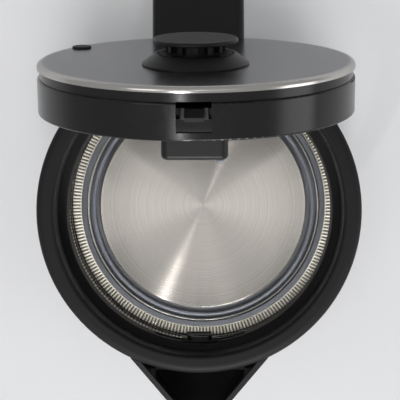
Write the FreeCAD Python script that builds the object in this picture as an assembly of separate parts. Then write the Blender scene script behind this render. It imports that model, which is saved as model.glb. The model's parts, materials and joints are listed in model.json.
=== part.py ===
import FreeCAD, Part
import math
import os

# Glass jug kettle with a hinged, latched lid, standing on its cordless power base.
# Millimetres, +Z up. Z = 0 is the table and the Z axis is the jug's axis.
# The handle points along +Y and the spout along -Y. The lid is modelled shut and then swung open.

V = FreeCAD.Vector
X_AXIS = V(1, 0, 0)
Y_AXIS = V(0, 1, 0)
Z_AXIS = V(0, 0, 1)

# Clearances
FIT = 0.15            # between pieces that seat in each other
MOVE = 0.3            # between pieces that move past each other
RUNNING = 0.06        # between a hinge pin and its bore
SEAT_GAP = 0.3        # kettle above the power base

# Screws
SCREW_R = 1.5
SCREW_HEAD_R = 2.8
SCREW_HEAD_H = 1.2
SCREW_LENGTH = 7.0
BOSS_R = 4.0
PILOT_EXTRA = 0.6     # pilot hole beyond the screw's end

# Power base
FOOT_PROUD = 1.5
FOOT_SINK = 0.8
FOOT_W = 6.0
FOOT_INSET = 7.0      # rubber ring inside the base's edge
BASE_R = 79.0
BASE_H = 17.2
BASE_WALL = 2.5
BASE_FLOOR_T = 2.2
BASE_SHOULDER = 7.0
BASE_SHOULDER_ROUND = 5.0
DISH_R = 52.0
DISH_DEPTH = 3.5
DISH_SLOPE = 4.0
BASE_SCREW_CIRCLE = 40.0
BASE_SCREW_COUNT = 3
BASE_SCREW_START = 30.0
POST_FLANGE = 4.0     # flange of the connector beyond its hole
POST_FLANGE_T = 2.2
POST_HOLE_R = 16.0
POST_R = 12.5
POST_WELL_R = 9.8
POST_PIN_R = 4.0
POST_H = 12.0         # post above the seat plane
CONTACT_T = 1.2
CONTACT_BELOW = 3.0   # contact rings below the post's top
GLAND_R = 4.2
GLAND_FLANGE_R = 5.6
GLAND_FLANGE_T = 2.2
GLAND_BORE_R = 3.0

# Underside of the kettle
HOUSING_H = 34.0
HOUSING_WALL = 2.6
HOUSING_TAPER = 1.5
HOUSING_FOOT = 6.5    # inward turn of the wall at the bottom
HOUSING_FOOT_H = 4.5
COVER_T = 2.4
COVER_SCREW_COUNT = 3
COVER_SCREW_START = 30.0
SHELF_T = 2.5
SHELF_DROP = 3.5      # shelf below the glass floor
SOCKET_GAP = 0.5
SOCKET_WALL = 4.0
SOCKET_ROOF_T = 3.0
SOCKET_ROOF_GAP = 1.0
SOCKET_TUBE_T = 2.0
SOCKET_RAISE = 0.6    # socket's mouth above the kettle's underside
CONTROL_X = 62.0
CONTROL_Y = 46.0
CONTROL_H = 12.0
CONTROL_ROUND = 6.0

# Glass jug
GLASS_RISE = 25.0     # glass floor above the kettle's underside
GLASS_H = 132.0
GLASS_WALL = 2.8
GLASS_FLOOR_T = 3.0
GLASS_LEDGE = 10.5    # glass floor outside its hole
GLASS_CORNER = 5.5
GLASS_HOUSING_GAP = 0.4

# Heater
PLATE_R = 60.1
PLATE_T = 1.2
PLATE_PROUD = 1.0     # plate above the glass floor
PLATE_ROUND = 1.1
PLATE_FLANGE_T = 1.2
PLATE_SEAL_IN = 2.0   # groove between plate and seal bead
PLATE_SEAL_W = 2.3
PLATE_SEAL_LOW = 0.6  # bead below the plate's face
PLATE_SEAL_BASE_T = 2.8
SLEEVE_GAP = 1.4      # groove between seal bead and steel sleeve
SLEEVE_T = 1.4
SLEEVE_LOW = 0.3
JUG_SEAL_WEB = 1.0
JUG_SEAL_LIP = 2.0
JUG_SEAL_LIP_T = 1.2
SPREADER_R = 52.0
SPREADER_T = 3.5
ELEMENT_R = 38.0
ELEMENT_TUBE_R = 3.3
ELEMENT_SWEEP = 300.0
ELEMENT_PIN_R = 1.5
ELEMENT_PIN_H = 5.0
PROBE_X = 9.5
PROBE_Y = 28.0
PROBE_R = 2.05
PROBE_PROUD = 5.5
PROBE_BELOW = 11.0
PROBE_SEAL_R = 3.7
PROBE_SEAL_PROUD = 1.4
PROBE_SEAL_T = 0.8

# Fluted ring that shows through the glass floor
FLUTE_COUNT = 240
FLUTE_LENGTH = 5.4
FLUTE_BAND = 0.7
FLUTE_SHARE = 0.66    # rib width over pitch

# Collar
COLLAR_R = 75.6
COLLAR_RISE = 39.0    # collar top above the glass rim
COLLAR_SKIRT = 11.0
COLLAR_WALL = 2.5
COLLAR_TAPER = 0.6
COLLAR_ROUND = 3.5
COLLAR_LIP_ROUND = 2.0
RIM_CLEAR = 2.5       # glass rim inside the collar's skirt
TUBE_GAP = 0.6        # collar's inner tube inside the glass rim
TUBE_DIP = 5.0        # inner tube below the glass rim
TUBE_T = 1.8
TUBE_FLARE = 1.5      # inner tube wider at its lower edge
LEDGE_W = 3.9
RIM_SEAL_T = 1.7
FLANGE_T = 2.5
NOTCH_HALF = 29.0     # half width of the step behind the lid
NOTCH_DROP = 4.0
HINGE_SLOT_GAP = 1.5  # slot beyond the hinge ears
SWING_SHARE = 0.93    # radius of the hollow behind the lid over the lid's
SOLID_SHARE = 0.35    # collar is solid behind this share of its radius

# Spout
SPOUT_REACH = 26.3    # tip beyond the collar
SPOUT_HALF_ANGLE = 40.5
SPOUT_TIP_ROUND = 8.0
SPOUT_WALL = 2.3
SPOUT_BELOW = 3.5     # spout's edge below the collar top
SPOUT_TIP_H = 8.0
SPOUT_KEEL_ROUND = 1.0
THROAT_HALF = 24.0
FILTER_T = 1.2
FILTER_HOLE = 1.9
FILTER_PITCH = 2.6
FILTER_COLUMNS = 15
FILTER_ROWS = 2

# Lid, measured down from its top face
LID_GAP = 0.9
LID_PROUD = 1.0
LID_SEAT_GAP = 0.3
LID_RIM_H = 21.0
LID_RIM_WALL = 2.4
LID_OPEN = 76.0
CAP_T = 0.8
CAP_EDGE = 2.4
CAP_ROUND = 1.7
NECK_END = 6.2
DECK_T = 2.2
LINER_DROP = 15.0
LINER_T = 2.0
LID_SCREW_CIRCLE = 50.0
LID_SCREW_ANGLES = (40.0, 140.0, 220.0, 320.0)
VENT_INSET = 6.0      # vent plug's centre inside the lid's edge
VENT_ANGLE = 147.4
VENT_R = 4.2
VENT_PROUD = 0.9
VENT_STEM_R = 2.9

# Lid hinge
HINGE_OUT = 4.7       # pin beyond the lid's edge
HINGE_DROP = 10.8     # pin below the lid's top face
PIN_R = 2.0
PIN_HEAD = 1.2
KNUCKLE_R = 4.5
KNUCKLE_IN = 5.6
KNUCKLE_OUT = 16.2
EAR_R = 4.6
EAR_T = 3.0
HINGE_WIRE_R = 0.5
HINGE_COIL_R = 3.4
HINGE_COIL_PITCH = 1.6
HINGE_COIL_TURNS = 5
HINGE_LEG = 4.6

# Push knob and latch
KNOB_FORWARD = 12.5
KNOB_BASE_R = 22.0
KNOB_BASE_EDGE = 0.6
KNOB_BASE_H = 4.8
KNOB_RIM_R = 16.5
KNOB_WELL_R = 13.0
KNOB_WELL_Z = 2.0
KNOB_STEM_R = 9.9
KNOB_SLEEVE_T = 1.8
KNOB_DISC_R = 17.5
KNOB_DISC_T = 1.8
KNOB_H = 10.8
KNOB_DISH = 0.8
KNOB_RIBS = 12
KNOB_RIB_W = 2.2
KNOB_RIB_OUT = 2.2
KNOB_TRAVEL = 3.0
KNOB_STOP_R = 11.8
KNOB_STOP_T = 1.2
WEDGE_HALF = 3.5
WEDGE_BACK = 4.0
BOLT_HALF = 5.5
BOLT_T = 4.6
BOLT_NOSE_HALF = 3.75
BOLT_WINDOW_HALF = 4.0
BOLT_TAIL = 10.5      # tail behind the knob's axis
NOSE_SHOULDER = 1.5   # bolt's shoulder behind the striker bar
LATCH_NOTCH_HALF = 6.75
LATCH_NOTCH_TOP = 5.9
LATCH_NOTCH_END = 17.7
LATCH_HALF = 13.1
LATCH_DEPTH = 20.0
LATCH_BOTTOM = 31.5
LATCH_WALL = 2.0
LATCH_ROUND = 3.0
LATCH_SWING = 4.3     # block behind the striker bar
STRIKER_OUT = 6.4     # striker bar inside the mouth
STRIKER_HALF = 5.75
STRIKER_BAR = 1.8
STRIKER_SIDE = 1.6
STRIKER_PLATE_HALF = 8.75
STRIKER_PLATE_T = 1.5
STRIKER_PLATE_H = 9.0
LATCH_WIRE_R = 0.4
LATCH_COIL_R = 1.8
LATCH_COIL_PITCH = 1.7
LATCH_COIL_TURNS = 6
RAIL_T = 1.5
RAIL_H = 4.0

# Handle
HANDLE_HALF_TOP = 21.5
HANDLE_HALF_FOOT = 15.0
HANDLE_REACH = 48.4   # outer face beyond the collar
HANDLE_LEAN = 5.0
HANDLE_BELOW = 1.5    # top face below the collar top
HANDLE_FALL = 4.0
HANDLE_THICK = 20.5
HANDLE_ROOT_H = 25.0
HANDLE_ARM_H = 21.0
HANDLE_FOOT_RISE = 11.0
HANDLE_FOOT_H = 24.0
HANDLE_TOP_ROUND = 22.0
HANDLE_FOOT_ROUND = 16.0
HANDLE_PALM_ROUND = 12.0
HANDLE_EDGE = 4.0
HANDLE_WALL = 2.6
HANDLE_SCOOP_GAP = 1.75
GRIP_COVER_T = 2.2
GRIP_COVER_END = 16.0

# Power switch
SWITCH_IN = 15.0      # pivot inside the handle's outer face
SWITCH_HALF = 8.0
SWITCH_T = 5.0
SWITCH_HUB_R = 4.2
SWITCH_PIN_R = 1.5
SWITCH_PIN_SINK = 1.5
SWITCH_OUT = 5.5
SWITCH_SWING = 14.0
SWITCH_SLOT_GAP = 0.8

# Levels
BASE_Z = FOOT_PROUD
SEAT_Z = BASE_Z + BASE_H
KETTLE_Z = SEAT_Z + SEAT_GAP
HOUSING_TOP = KETTLE_Z + HOUSING_H
GLASS_Z = KETTLE_Z + GLASS_RISE
GLASS_FLOOR_Z = GLASS_Z + GLASS_FLOOR_T
RIM_Z = GLASS_Z + GLASS_H
PLATE_Z = GLASS_FLOOR_Z + PLATE_PROUD
SHELF_Z = GLASS_Z - SHELF_DROP
FLANGE_Z = SHELF_Z + PLATE_FLANGE_T
COLLAR_Z = RIM_Z + COLLAR_RISE
LID_Z = COLLAR_Z + LID_PROUD
LEDGE_Z = LID_Z - LID_RIM_H - LID_SEAT_GAP
SEAT_FLANGE_Z = RIM_Z + RIM_SEAL_T + 2 * FIT
DECK_Z = LID_Z - CAP_T - DECK_T
LINER_Z = LID_Z - LINER_DROP
HINGE_Z = LID_Z - HINGE_DROP
BOLT_Z = LINER_Z + MOVE
BOLT_TOP = BOLT_Z + BOLT_T
POST_TOP = SEAT_Z + POST_H

# Radii and places that follow from them
RIM_R = COLLAR_R - COLLAR_TAPER - COLLAR_WALL - RIM_CLEAR
TUBE_R = RIM_R - GLASS_WALL - TUBE_GAP
MOUTH_R = TUBE_R - TUBE_T - TUBE_FLARE
RECESS_R = MOUTH_R + LEDGE_W
LID_R = RECESS_R - LID_GAP
HINGE_Y = LID_R + HINGE_OUT
VENT_CIRCLE = LID_R - VENT_INSET
BEAD_IN = PLATE_R + PLATE_SEAL_IN
BEAD_OUT = BEAD_IN + PLATE_SEAL_W
SLEEVE_R = BEAD_OUT + SLEEVE_GAP
SLEEVE_OUT = SLEEVE_R + SLEEVE_T
GLASS_HOLE_R = SLEEVE_OUT + JUG_SEAL_WEB + 2 * FIT
FLANGE_R = GLASS_HOLE_R + JUG_SEAL_LIP
GLASS_FOOT_R = GLASS_HOLE_R + GLASS_LEDGE
HOUSING_R = GLASS_FOOT_R + GLASS_HOUSING_GAP + HOUSING_WALL
FOOT_OUT = BASE_R - FOOT_INSET
FOOT_IN = FOOT_OUT - FOOT_W
BAR_R = MOUTH_R - STRIKER_OUT
KNOB_Y = -KNOB_FORWARD
LATCH_FRONT = BAR_R - LATCH_SWING
BOLT_FRONT = BAR_R - NOSE_SHOULDER
NOSE_TIP = BAR_R + KNOB_TRAVEL - FIT
HANDLE_OUT = COLLAR_R + HANDLE_REACH
HANDLE_TOP = COLLAR_Z - HANDLE_BELOW
HANDLE_FOOT = KETTLE_Z + HANDLE_FOOT_RISE
SWITCH_Y = HANDLE_OUT - HANDLE_LEAN - SWITCH_IN
SWITCH_Z = HANDLE_FOOT + HANDLE_FOOT_H / 2


def axial(r, z):
    return V(r, 0, z)


def upright(y, z):
    return V(0, y, z)


def level(x, y):
    return V(x, y, 0)


def rounded_face(corners, place):
    """Flat face through corner points; a corner with a third value gets a tangent arc of that radius."""
    edges = []
    starts = []
    count = len(corners)
    for i, corner in enumerate(corners):
        here = V(corner[0], corner[1], 0)
        before = V(*corners[i - 1][:2], 0)
        after = V(*corners[(i + 1) % count][:2], 0)
        if len(corner) == 2:
            starts.append((here, here, None))
            continue
        back = (before - here).normalize()
        ahead = (after - here).normalize()
        half = back.getAngle(ahead) / 2
        inward = (back + ahead).normalize()
        reach = corner[2] / math.tan(half)
        middle = here + inward * (corner[2] / math.sin(half) - corner[2])
        starts.append((here + back * reach, here + ahead * reach, middle))
    for i, (first, last, middle) in enumerate(starts):
        if middle:
            edges.append(Part.Arc(*(place(p.x, p.y) for p in (first, middle, last))).toShape())
        following = starts[(i + 1) % count][0]
        if (following - last).Length > 1e-6:
            edges.append(Part.LineSegment(place(last.x, last.y), place(following.x, following.y)).toShape())
    return Part.Face(Part.Wire(edges))


def revolved(corners, angle=360.0):
    """Solid of revolution about the Z axis from (radius, height) corners."""
    return rounded_face(corners, axial).revolve(V(), Z_AXIS, angle)


def along_x(corners, x0, x1):
    """Prism from (y, z) corners between two x planes."""
    return rounded_face(corners, upright).extrude(X_AXIS * (x1 - x0)).translate(X_AXIS * x0)


def block(x0, x1, y0, y1, z0, z1):
    return Part.makeBox(x1 - x0, y1 - y0, z1 - z0, V(x0, y0, z0))


def post(r, z0, z1, x=0.0, y=0.0):
    return Part.makeCylinder(r, z1 - z0, V(x, y, z0))


def ring(r_in, r_out, z0, z1):
    return revolved([(r_in, z0), (r_out, z0), (r_out, z1), (r_in, z1)])


def rod_x(r, x0, x1, y, z):
    return Part.makeCylinder(r, x1 - x0, V(x0, y, z), X_AXIS)


def polar(radius, degrees):
    turn = math.radians(degrees)
    return radius * math.cos(turn), radius * math.sin(turn)


def spots(radius, count, first):
    return [polar(radius, first + 360.0 * i / count) for i in range(count)]


def screw(x, y, z, length):
    """Pan head screw standing on its head, whose underside is at z, shank upwards."""
    head = post(SCREW_HEAD_R, z - SCREW_HEAD_H, z, x, y)
    return head.fuse(post(SCREW_R, z, z + length, x, y)).removeSplitter()


def opened(shape):
    """Swings a lid piece from shut to open about the hinge pin."""
    return shape.copy().rotate(V(0, HINGE_Y, HINGE_Z), X_AXIS, -LID_OPEN)


def glass_radius(z):
    """Outside radius of the glass wall, a straight taper from foot to rim."""
    share = (z - GLASS_Z - GLASS_CORNER) / (GLASS_H - GLASS_CORNER)
    return GLASS_FOOT_R + (RIM_R - GLASS_FOOT_R) * share


def least_gap(points, wire_r):
    """Least free distance between stretches of a wire that are more than half a turn apart."""
    steps = [(b - a).Length for a, b in zip(points, points[1:])]
    run = [0.0]
    for step in steps:
        run.append(run[-1] + step)
    least = run[-1]
    for i, a in enumerate(points):
        for j in range(i + 1, len(points)):
            if run[j] - run[i] > 8 * wire_r:
                least = min(least, (points[j] - a).Length - 2 * wire_r)
    return least


def coil(name, wire_r, coil_r, pitch, turns, first_leg, last_leg):
    """Spring wound about the X axis: quarter turn arcs of a helix, with a straight leg at each end."""
    def on_helix(quarters):
        turn = quarters * math.pi / 2
        return V(pitch * quarters / 4, coil_r * math.cos(turn), coil_r * math.sin(turn))

    quarters = 4 * turns
    edges = []
    start = on_helix(0)
    tip = start + V(0, 0, -first_leg)
    if first_leg:
        edges.append(Part.LineSegment(tip, start).toShape())
    for q in range(math.ceil(quarters)):
        end = min(q + 1, quarters)
        edges.append(Part.Arc(on_helix(q), on_helix((q + end) / 2), on_helix(end)).toShape())
    if last_leg:
        end = on_helix(quarters)
        heading = (end - on_helix(quarters - 0.01)).normalize()
        edges.append(Part.LineSegment(end, end + heading * last_leg).toShape())
    path = Part.Wire(edges)
    origin = tip if first_leg else start
    aim = edges[0].tangentAt(edges[0].FirstParameter)
    section = Part.Wire(Part.makeCircle(wire_r, origin, aim))
    print(name, "least gap to itself", round(least_gap(path.discretize(Number=160), wire_r), 2), "mm")
    return path.makePipeShell([section], True, False)


def base_shell():
    dish_z = SEAT_Z - DISH_DEPTH
    wall_in = BASE_R - BASE_WALL
    shell = revolved([
        (wall_in, BASE_Z),
        (BASE_R, BASE_Z),
        (BASE_R, SEAT_Z - BASE_SHOULDER, BASE_SHOULDER_ROUND),
        (BASE_R - BASE_SHOULDER, SEAT_Z, BASE_SHOULDER_ROUND),
        (DISH_R, SEAT_Z),
        (DISH_R - DISH_SLOPE, dish_z),
        (POST_HOLE_R, dish_z),
        (POST_HOLE_R, dish_z - BASE_WALL),
        (DISH_R - DISH_SLOPE, dish_z - BASE_WALL),
        (DISH_R, SEAT_Z - BASE_WALL),
        (BASE_R - BASE_SHOULDER - BASE_WALL, SEAT_Z - BASE_WALL),
        (wall_in, SEAT_Z - BASE_SHOULDER - BASE_WALL),
    ])
    floor_top = BASE_Z + BASE_FLOOR_T
    for x, y in spots(BASE_SCREW_CIRCLE, BASE_SCREW_COUNT, BASE_SCREW_START):
        shell = shell.fuse(post(BOSS_R, floor_top, dish_z - BASE_WALL / 2, x, y))
        shell = shell.cut(post(SCREW_R + FIT, floor_top, floor_top + SCREW_LENGTH + PILOT_EXTRA, x, y))
    gland_z = BASE_Z + GLAND_FLANGE_R
    hole = Part.makeCylinder(GLAND_R, 2 * BASE_WALL, V(0, BASE_R - 1.5 * BASE_WALL, gland_z), Y_AXIS)
    return shell.cut(hole).removeSplitter()


def base_floor():
    plate = post(BASE_R - BASE_WALL - FIT, BASE_Z, BASE_Z + BASE_FLOOR_T)
    plate = plate.cut(ring(FOOT_IN - FIT, FOOT_OUT + FIT, BASE_Z, BASE_Z + FOOT_SINK))
    for x, y in spots(BASE_SCREW_CIRCLE, BASE_SCREW_COUNT, BASE_SCREW_START):
        plate = plate.cut(post(SCREW_R + FIT, BASE_Z, BASE_Z + BASE_FLOOR_T, x, y))
        plate = plate.cut(post(SCREW_HEAD_R + FIT, BASE_Z, BASE_Z + SCREW_HEAD_H, x, y))
    return plate


def base_screws():
    head_z = BASE_Z + SCREW_HEAD_H
    return Part.makeCompound([
        screw(x, y, head_z, SCREW_LENGTH) for x, y in spots(BASE_SCREW_CIRCLE, BASE_SCREW_COUNT, BASE_SCREW_START)
    ])


def base_feet():
    """Rubber ring that the power base stands on, let into its floor."""
    top = BASE_Z + FOOT_SINK
    return revolved([
        (FOOT_IN, 0, FOOT_SINK / 2),
        (FOOT_OUT, 0, FOOT_SINK / 2),
        (FOOT_OUT, top),
        (FOOT_IN, top),
    ])


def base_connector():
    dish_z = SEAT_Z - DISH_DEPTH
    under = dish_z - BASE_WALL
    well_z = dish_z + BASE_WALL / 2
    return revolved([
        (0, under - POST_FLANGE_T),
        (POST_HOLE_R + POST_FLANGE, under - POST_FLANGE_T),
        (POST_HOLE_R + POST_FLANGE, under),
        (POST_HOLE_R - FIT, under),
        (POST_HOLE_R - FIT, well_z),
        (POST_R, well_z),
        (POST_R, POST_TOP, CONTACT_T / 2),
        (POST_WELL_R, POST_TOP, CONTACT_T / 2),
        (POST_WELL_R, well_z),
        (POST_PIN_R, well_z),
        (POST_PIN_R, POST_TOP - CONTACT_T, CONTACT_T),
        (0, POST_TOP - CONTACT_T),
    ])


def base_contacts():
    well_z = SEAT_Z - DISH_DEPTH + BASE_WALL / 2
    top = POST_TOP - CONTACT_BELOW
    outer = ring(POST_WELL_R - FIT - CONTACT_T, POST_WELL_R - FIT, well_z, top)
    inner = ring(POST_PIN_R + FIT, POST_PIN_R + FIT + CONTACT_T, well_z, top)
    return Part.makeCompound([outer, inner])


def cord_gland():
    gland_z = BASE_Z + GLAND_FLANGE_R
    bush = revolved([
        (GLAND_BORE_R, 0),
        (GLAND_R - FIT, 0),
        (GLAND_R - FIT, BASE_WALL + FIT),
        (GLAND_FLANGE_R, BASE_WALL + FIT),
        (GLAND_FLANGE_R, BASE_WALL + GLAND_FLANGE_T, GLAND_FLANGE_T / 2),
        (GLAND_BORE_R, BASE_WALL + GLAND_FLANGE_T),
    ])
    return bush.rotate(V(), X_AXIS, -90).translate(V(0, BASE_R - BASE_WALL, gland_z))


def cover_radius():
    return HOUSING_R - HOUSING_TAPER - HOUSING_FOOT - HOUSING_WALL


def cover_screw_circle():
    return cover_radius() - BOSS_R - HOUSING_WALL


def bottom_housing():
    low_r = HOUSING_R - HOUSING_TAPER
    glass_in = HOUSING_R - HOUSING_WALL
    lip_in = cover_radius() + FIT
    housing = revolved([
        (lip_in, KETTLE_Z),
        (low_r - HOUSING_FOOT, KETTLE_Z, HOUSING_WALL / 2),
        (low_r, KETTLE_Z + HOUSING_FOOT_H, HOUSING_FOOT_H / 2),
        (HOUSING_R, HOUSING_TOP, HOUSING_WALL / 3),
        (glass_in, HOUSING_TOP),
        (glass_in, SHELF_Z),
        (FLANGE_R - JUG_SEAL_LIP, SHELF_Z),
        (FLANGE_R - JUG_SEAL_LIP, SHELF_Z - SHELF_T),
        (glass_in - HOUSING_TAPER / 2, SHELF_Z - SHELF_T),
        (low_r - HOUSING_WALL, KETTLE_Z + HOUSING_FOOT_H + HOUSING_WALL / 2),
        (lip_in, KETTLE_Z + COVER_T + HOUSING_WALL),
    ])
    cover_top = KETTLE_Z + COVER_T
    for x, y in spots(cover_screw_circle(), COVER_SCREW_COUNT, COVER_SCREW_START):
        boss = post(BOSS_R, cover_top, SHELF_Z - SHELF_T / 2, x, y)
        housing = housing.fuse(boss)
        housing = housing.cut(post(SCREW_R + FIT, cover_top, cover_top + SCREW_LENGTH + PILOT_EXTRA, x, y))
    return housing.removeSplitter()


def bottom_cover():
    socket_out = POST_R + SOCKET_GAP + SOCKET_WALL
    cover = ring(socket_out + FIT, cover_radius(), KETTLE_Z, KETTLE_Z + COVER_T)
    for x, y in spots(cover_screw_circle(), COVER_SCREW_COUNT, COVER_SCREW_START):
        cover = cover.cut(post(SCREW_R + FIT, KETTLE_Z, KETTLE_Z + COVER_T, x, y))
        cover = cover.cut(post(SCREW_HEAD_R + FIT, KETTLE_Z, KETTLE_Z + SCREW_HEAD_H, x, y))
    return cover


def cover_screws():
    head_z = KETTLE_Z + SCREW_HEAD_H
    return Part.makeCompound([
        screw(x, y, head_z, SCREW_LENGTH) for x, y in spots(cover_screw_circle(), COVER_SCREW_COUNT, COVER_SCREW_START)
    ])


def connector_socket():
    roof = POST_TOP + SOCKET_ROOF_GAP
    bore = POST_R + SOCKET_GAP
    tube_in = POST_PIN_R + FIT + CONTACT_T + SOCKET_GAP
    tube_out = tube_in + SOCKET_TUBE_T
    tube_z = POST_TOP - CONTACT_BELOW + SOCKET_ROOF_GAP
    return revolved([
        (0, roof),
        (tube_in, roof),
        (tube_in, tube_z),
        (tube_out, tube_z),
        (tube_out, roof),
        (bore, roof),
        (bore, KETTLE_Z + SOCKET_RAISE),
        (bore + SOCKET_WALL, KETTLE_Z + SOCKET_RAISE),
        (bore + SOCKET_WALL, roof + SOCKET_ROOF_T, SOCKET_ROOF_T / 2),
        (0, roof + SOCKET_ROOF_T),
    ])


def control_unit():
    z0 = KETTLE_Z + COVER_T
    half_x = CONTROL_X / 2
    half_y = CONTROL_Y / 2
    body = rounded_face([
        (half_x, half_y, CONTROL_ROUND),
        (-half_x, half_y, CONTROL_ROUND),
        (-half_x, -half_y, CONTROL_ROUND),
        (half_x, -half_y, CONTROL_ROUND),
    ], level).extrude(Z_AXIS * CONTROL_H).translate(Z_AXIS * z0)
    return body.cut(post(POST_R + SOCKET_GAP + SOCKET_WALL + FIT, z0, z0 + CONTROL_H))


def heater_plate():
    plate = revolved([
        (0, PLATE_Z),
        (PLATE_R, PLATE_Z, PLATE_ROUND),
        (PLATE_R, FLANGE_Z),
        (FLANGE_R, FLANGE_Z),
        (FLANGE_R, SHELF_Z),
        (PLATE_R - PLATE_T, SHELF_Z),
        (PLATE_R - PLATE_T, PLATE_Z - PLATE_T),
        (0, PLATE_Z - PLATE_T),
    ])
    return plate.cut(post(PROBE_R + PROBE_SEAL_T + 2 * FIT, SHELF_Z, PLATE_Z + 1, PROBE_X, PROBE_Y))


def plate_seal():
    top = PLATE_Z - PLATE_SEAL_LOW
    base_top = FLANGE_Z + PLATE_SEAL_BASE_T
    return revolved([
        (PLATE_R + FIT, FLANGE_Z),
        (SLEEVE_R - FIT, FLANGE_Z),
        (SLEEVE_R - FIT, base_top),
        (BEAD_OUT, base_top),
        (BEAD_OUT, top, PLATE_SEAL_W * 0.45),
        (BEAD_IN, top, PLATE_SEAL_W * 0.45),
        (BEAD_IN, base_top),
        (PLATE_R + FIT, base_top),
    ])


def seal_sleeve():
    top = PLATE_Z - SLEEVE_LOW
    return revolved([
        (SLEEVE_R, FLANGE_Z),
        (SLEEVE_OUT, FLANGE_Z),
        (SLEEVE_OUT, top, SLEEVE_T * 0.4),
        (SLEEVE_R, top, SLEEVE_T * 0.4),
    ])


def jug_seal():
    web_in = SLEEVE_OUT + FIT
    web_out = GLASS_HOLE_R - FIT
    top = GLASS_FLOOR_Z + FIT + JUG_SEAL_LIP_T
    return revolved([
        (web_in, FLANGE_Z),
        (FLANGE_R, FLANGE_Z),
        (FLANGE_R, GLASS_Z - FIT),
        (web_out, GLASS_Z - FIT),
        (web_out, GLASS_FLOOR_Z + FIT),
        (FLANGE_R, GLASS_FLOOR_Z + FIT),
        (FLANGE_R, top, JUG_SEAL_LIP_T * 0.6),
        (web_in, top, JUG_SEAL_LIP_T * 0.4),
    ])


def fluted_ring():
    """Flat ring whose outer edge is cut into radial ribs."""
    inner = FLANGE_R + FIT
    root = inner + FLUTE_BAND
    tip = root + FLUTE_LENGTH
    pitch = 360.0 / FLUTE_COUNT
    outline = []
    for i in range(FLUTE_COUNT):
        for share, radius in ((0, root), (0, tip), (FLUTE_SHARE, tip), (FLUTE_SHARE, root)):
            outline.append(V(*polar(radius, pitch * (i + share)), SHELF_Z))
    height = SHELF_DROP - FIT
    star = Part.Face(Part.makePolygon(outline + outline[:1])).extrude(Z_AXIS * height)
    return star.cut(post(inner, SHELF_Z, SHELF_Z + height))


def heat_spreader():
    top = PLATE_Z - PLATE_T
    disc = revolved([
        (0, top - SPREADER_T),
        (SPREADER_R, top - SPREADER_T, PLATE_T),
        (SPREADER_R, top),
        (0, top),
    ])
    return disc.cut(post(PROBE_SEAL_R + MOVE, top - SPREADER_T, top, PROBE_X, PROBE_Y))


def element_z():
    return PLATE_Z - PLATE_T - SPREADER_T - ELEMENT_TUBE_R - FIT


def heating_element():
    z = element_z()
    circle = Part.Face(Part.Wire(Part.makeCircle(ELEMENT_TUBE_R, V(ELEMENT_R, 0, z), Y_AXIS)))
    tube = circle.revolve(V(0, 0, z), Z_AXIS, ELEMENT_SWEEP)
    for degrees in (ELEMENT_PIN_H, ELEMENT_SWEEP - ELEMENT_PIN_H):
        x, y = polar(ELEMENT_R, degrees)
        tube = tube.fuse(post(ELEMENT_PIN_R, z - ELEMENT_TUBE_R - ELEMENT_PIN_H, z, x, y))
    turn = 90.0 - (ELEMENT_SWEEP - 360.0) / 2 + 90.0 - 360.0
    return tube.rotate(V(), Z_AXIS, turn)


def temperature_probe():
    top = PLATE_Z + PROBE_PROUD
    rod = revolved([
        (0, PLATE_Z - PROBE_BELOW),
        (PROBE_R, PLATE_Z - PROBE_BELOW),
        (PROBE_R, top, PROBE_R * 0.9),
        (0, top),
    ])
    return rod.translate(V(PROBE_X, PROBE_Y, 0))


def probe_seal():
    bore = PROBE_R + FIT
    body = bore + PROBE_SEAL_T
    under = PLATE_Z - PLATE_T
    top = PLATE_Z + PROBE_SEAL_PROUD
    seal = revolved([
        (bore, under),
        (body, under),
        (body, PLATE_Z),
        (PROBE_SEAL_R, PLATE_Z),
        (PROBE_SEAL_R, top, PROBE_SEAL_PROUD * 0.6),
        (bore, top),
    ])
    return seal.translate(V(PROBE_X, PROBE_Y, 0))


def glass_jug():
    foot_in = GLASS_FOOT_R - GLASS_WALL
    rim_in = RIM_R - GLASS_WALL
    lip = GLASS_WALL * 0.45
    return revolved([
        (GLASS_HOLE_R, GLASS_Z),
        (GLASS_FOOT_R, GLASS_Z, GLASS_CORNER),
        (GLASS_FOOT_R, GLASS_Z + GLASS_CORNER + 1),
        (RIM_R, RIM_Z, lip),
        (rim_in, RIM_Z, lip),
        (foot_in, GLASS_Z + GLASS_CORNER + 1),
        (foot_in, GLASS_FLOOR_Z, GLASS_CORNER - GLASS_FLOOR_T),
        (GLASS_HOLE_R, GLASS_FLOOR_Z),
    ])


def rim_seal():
    return ring(TUBE_R + FIT, RIM_R + FIT, RIM_Z + FIT, SEAT_FLANGE_Z - FIT)


def throat_levels():
    return SEAT_FLANGE_Z + FLANGE_T, LEDGE_Z - FLANGE_T


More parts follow.
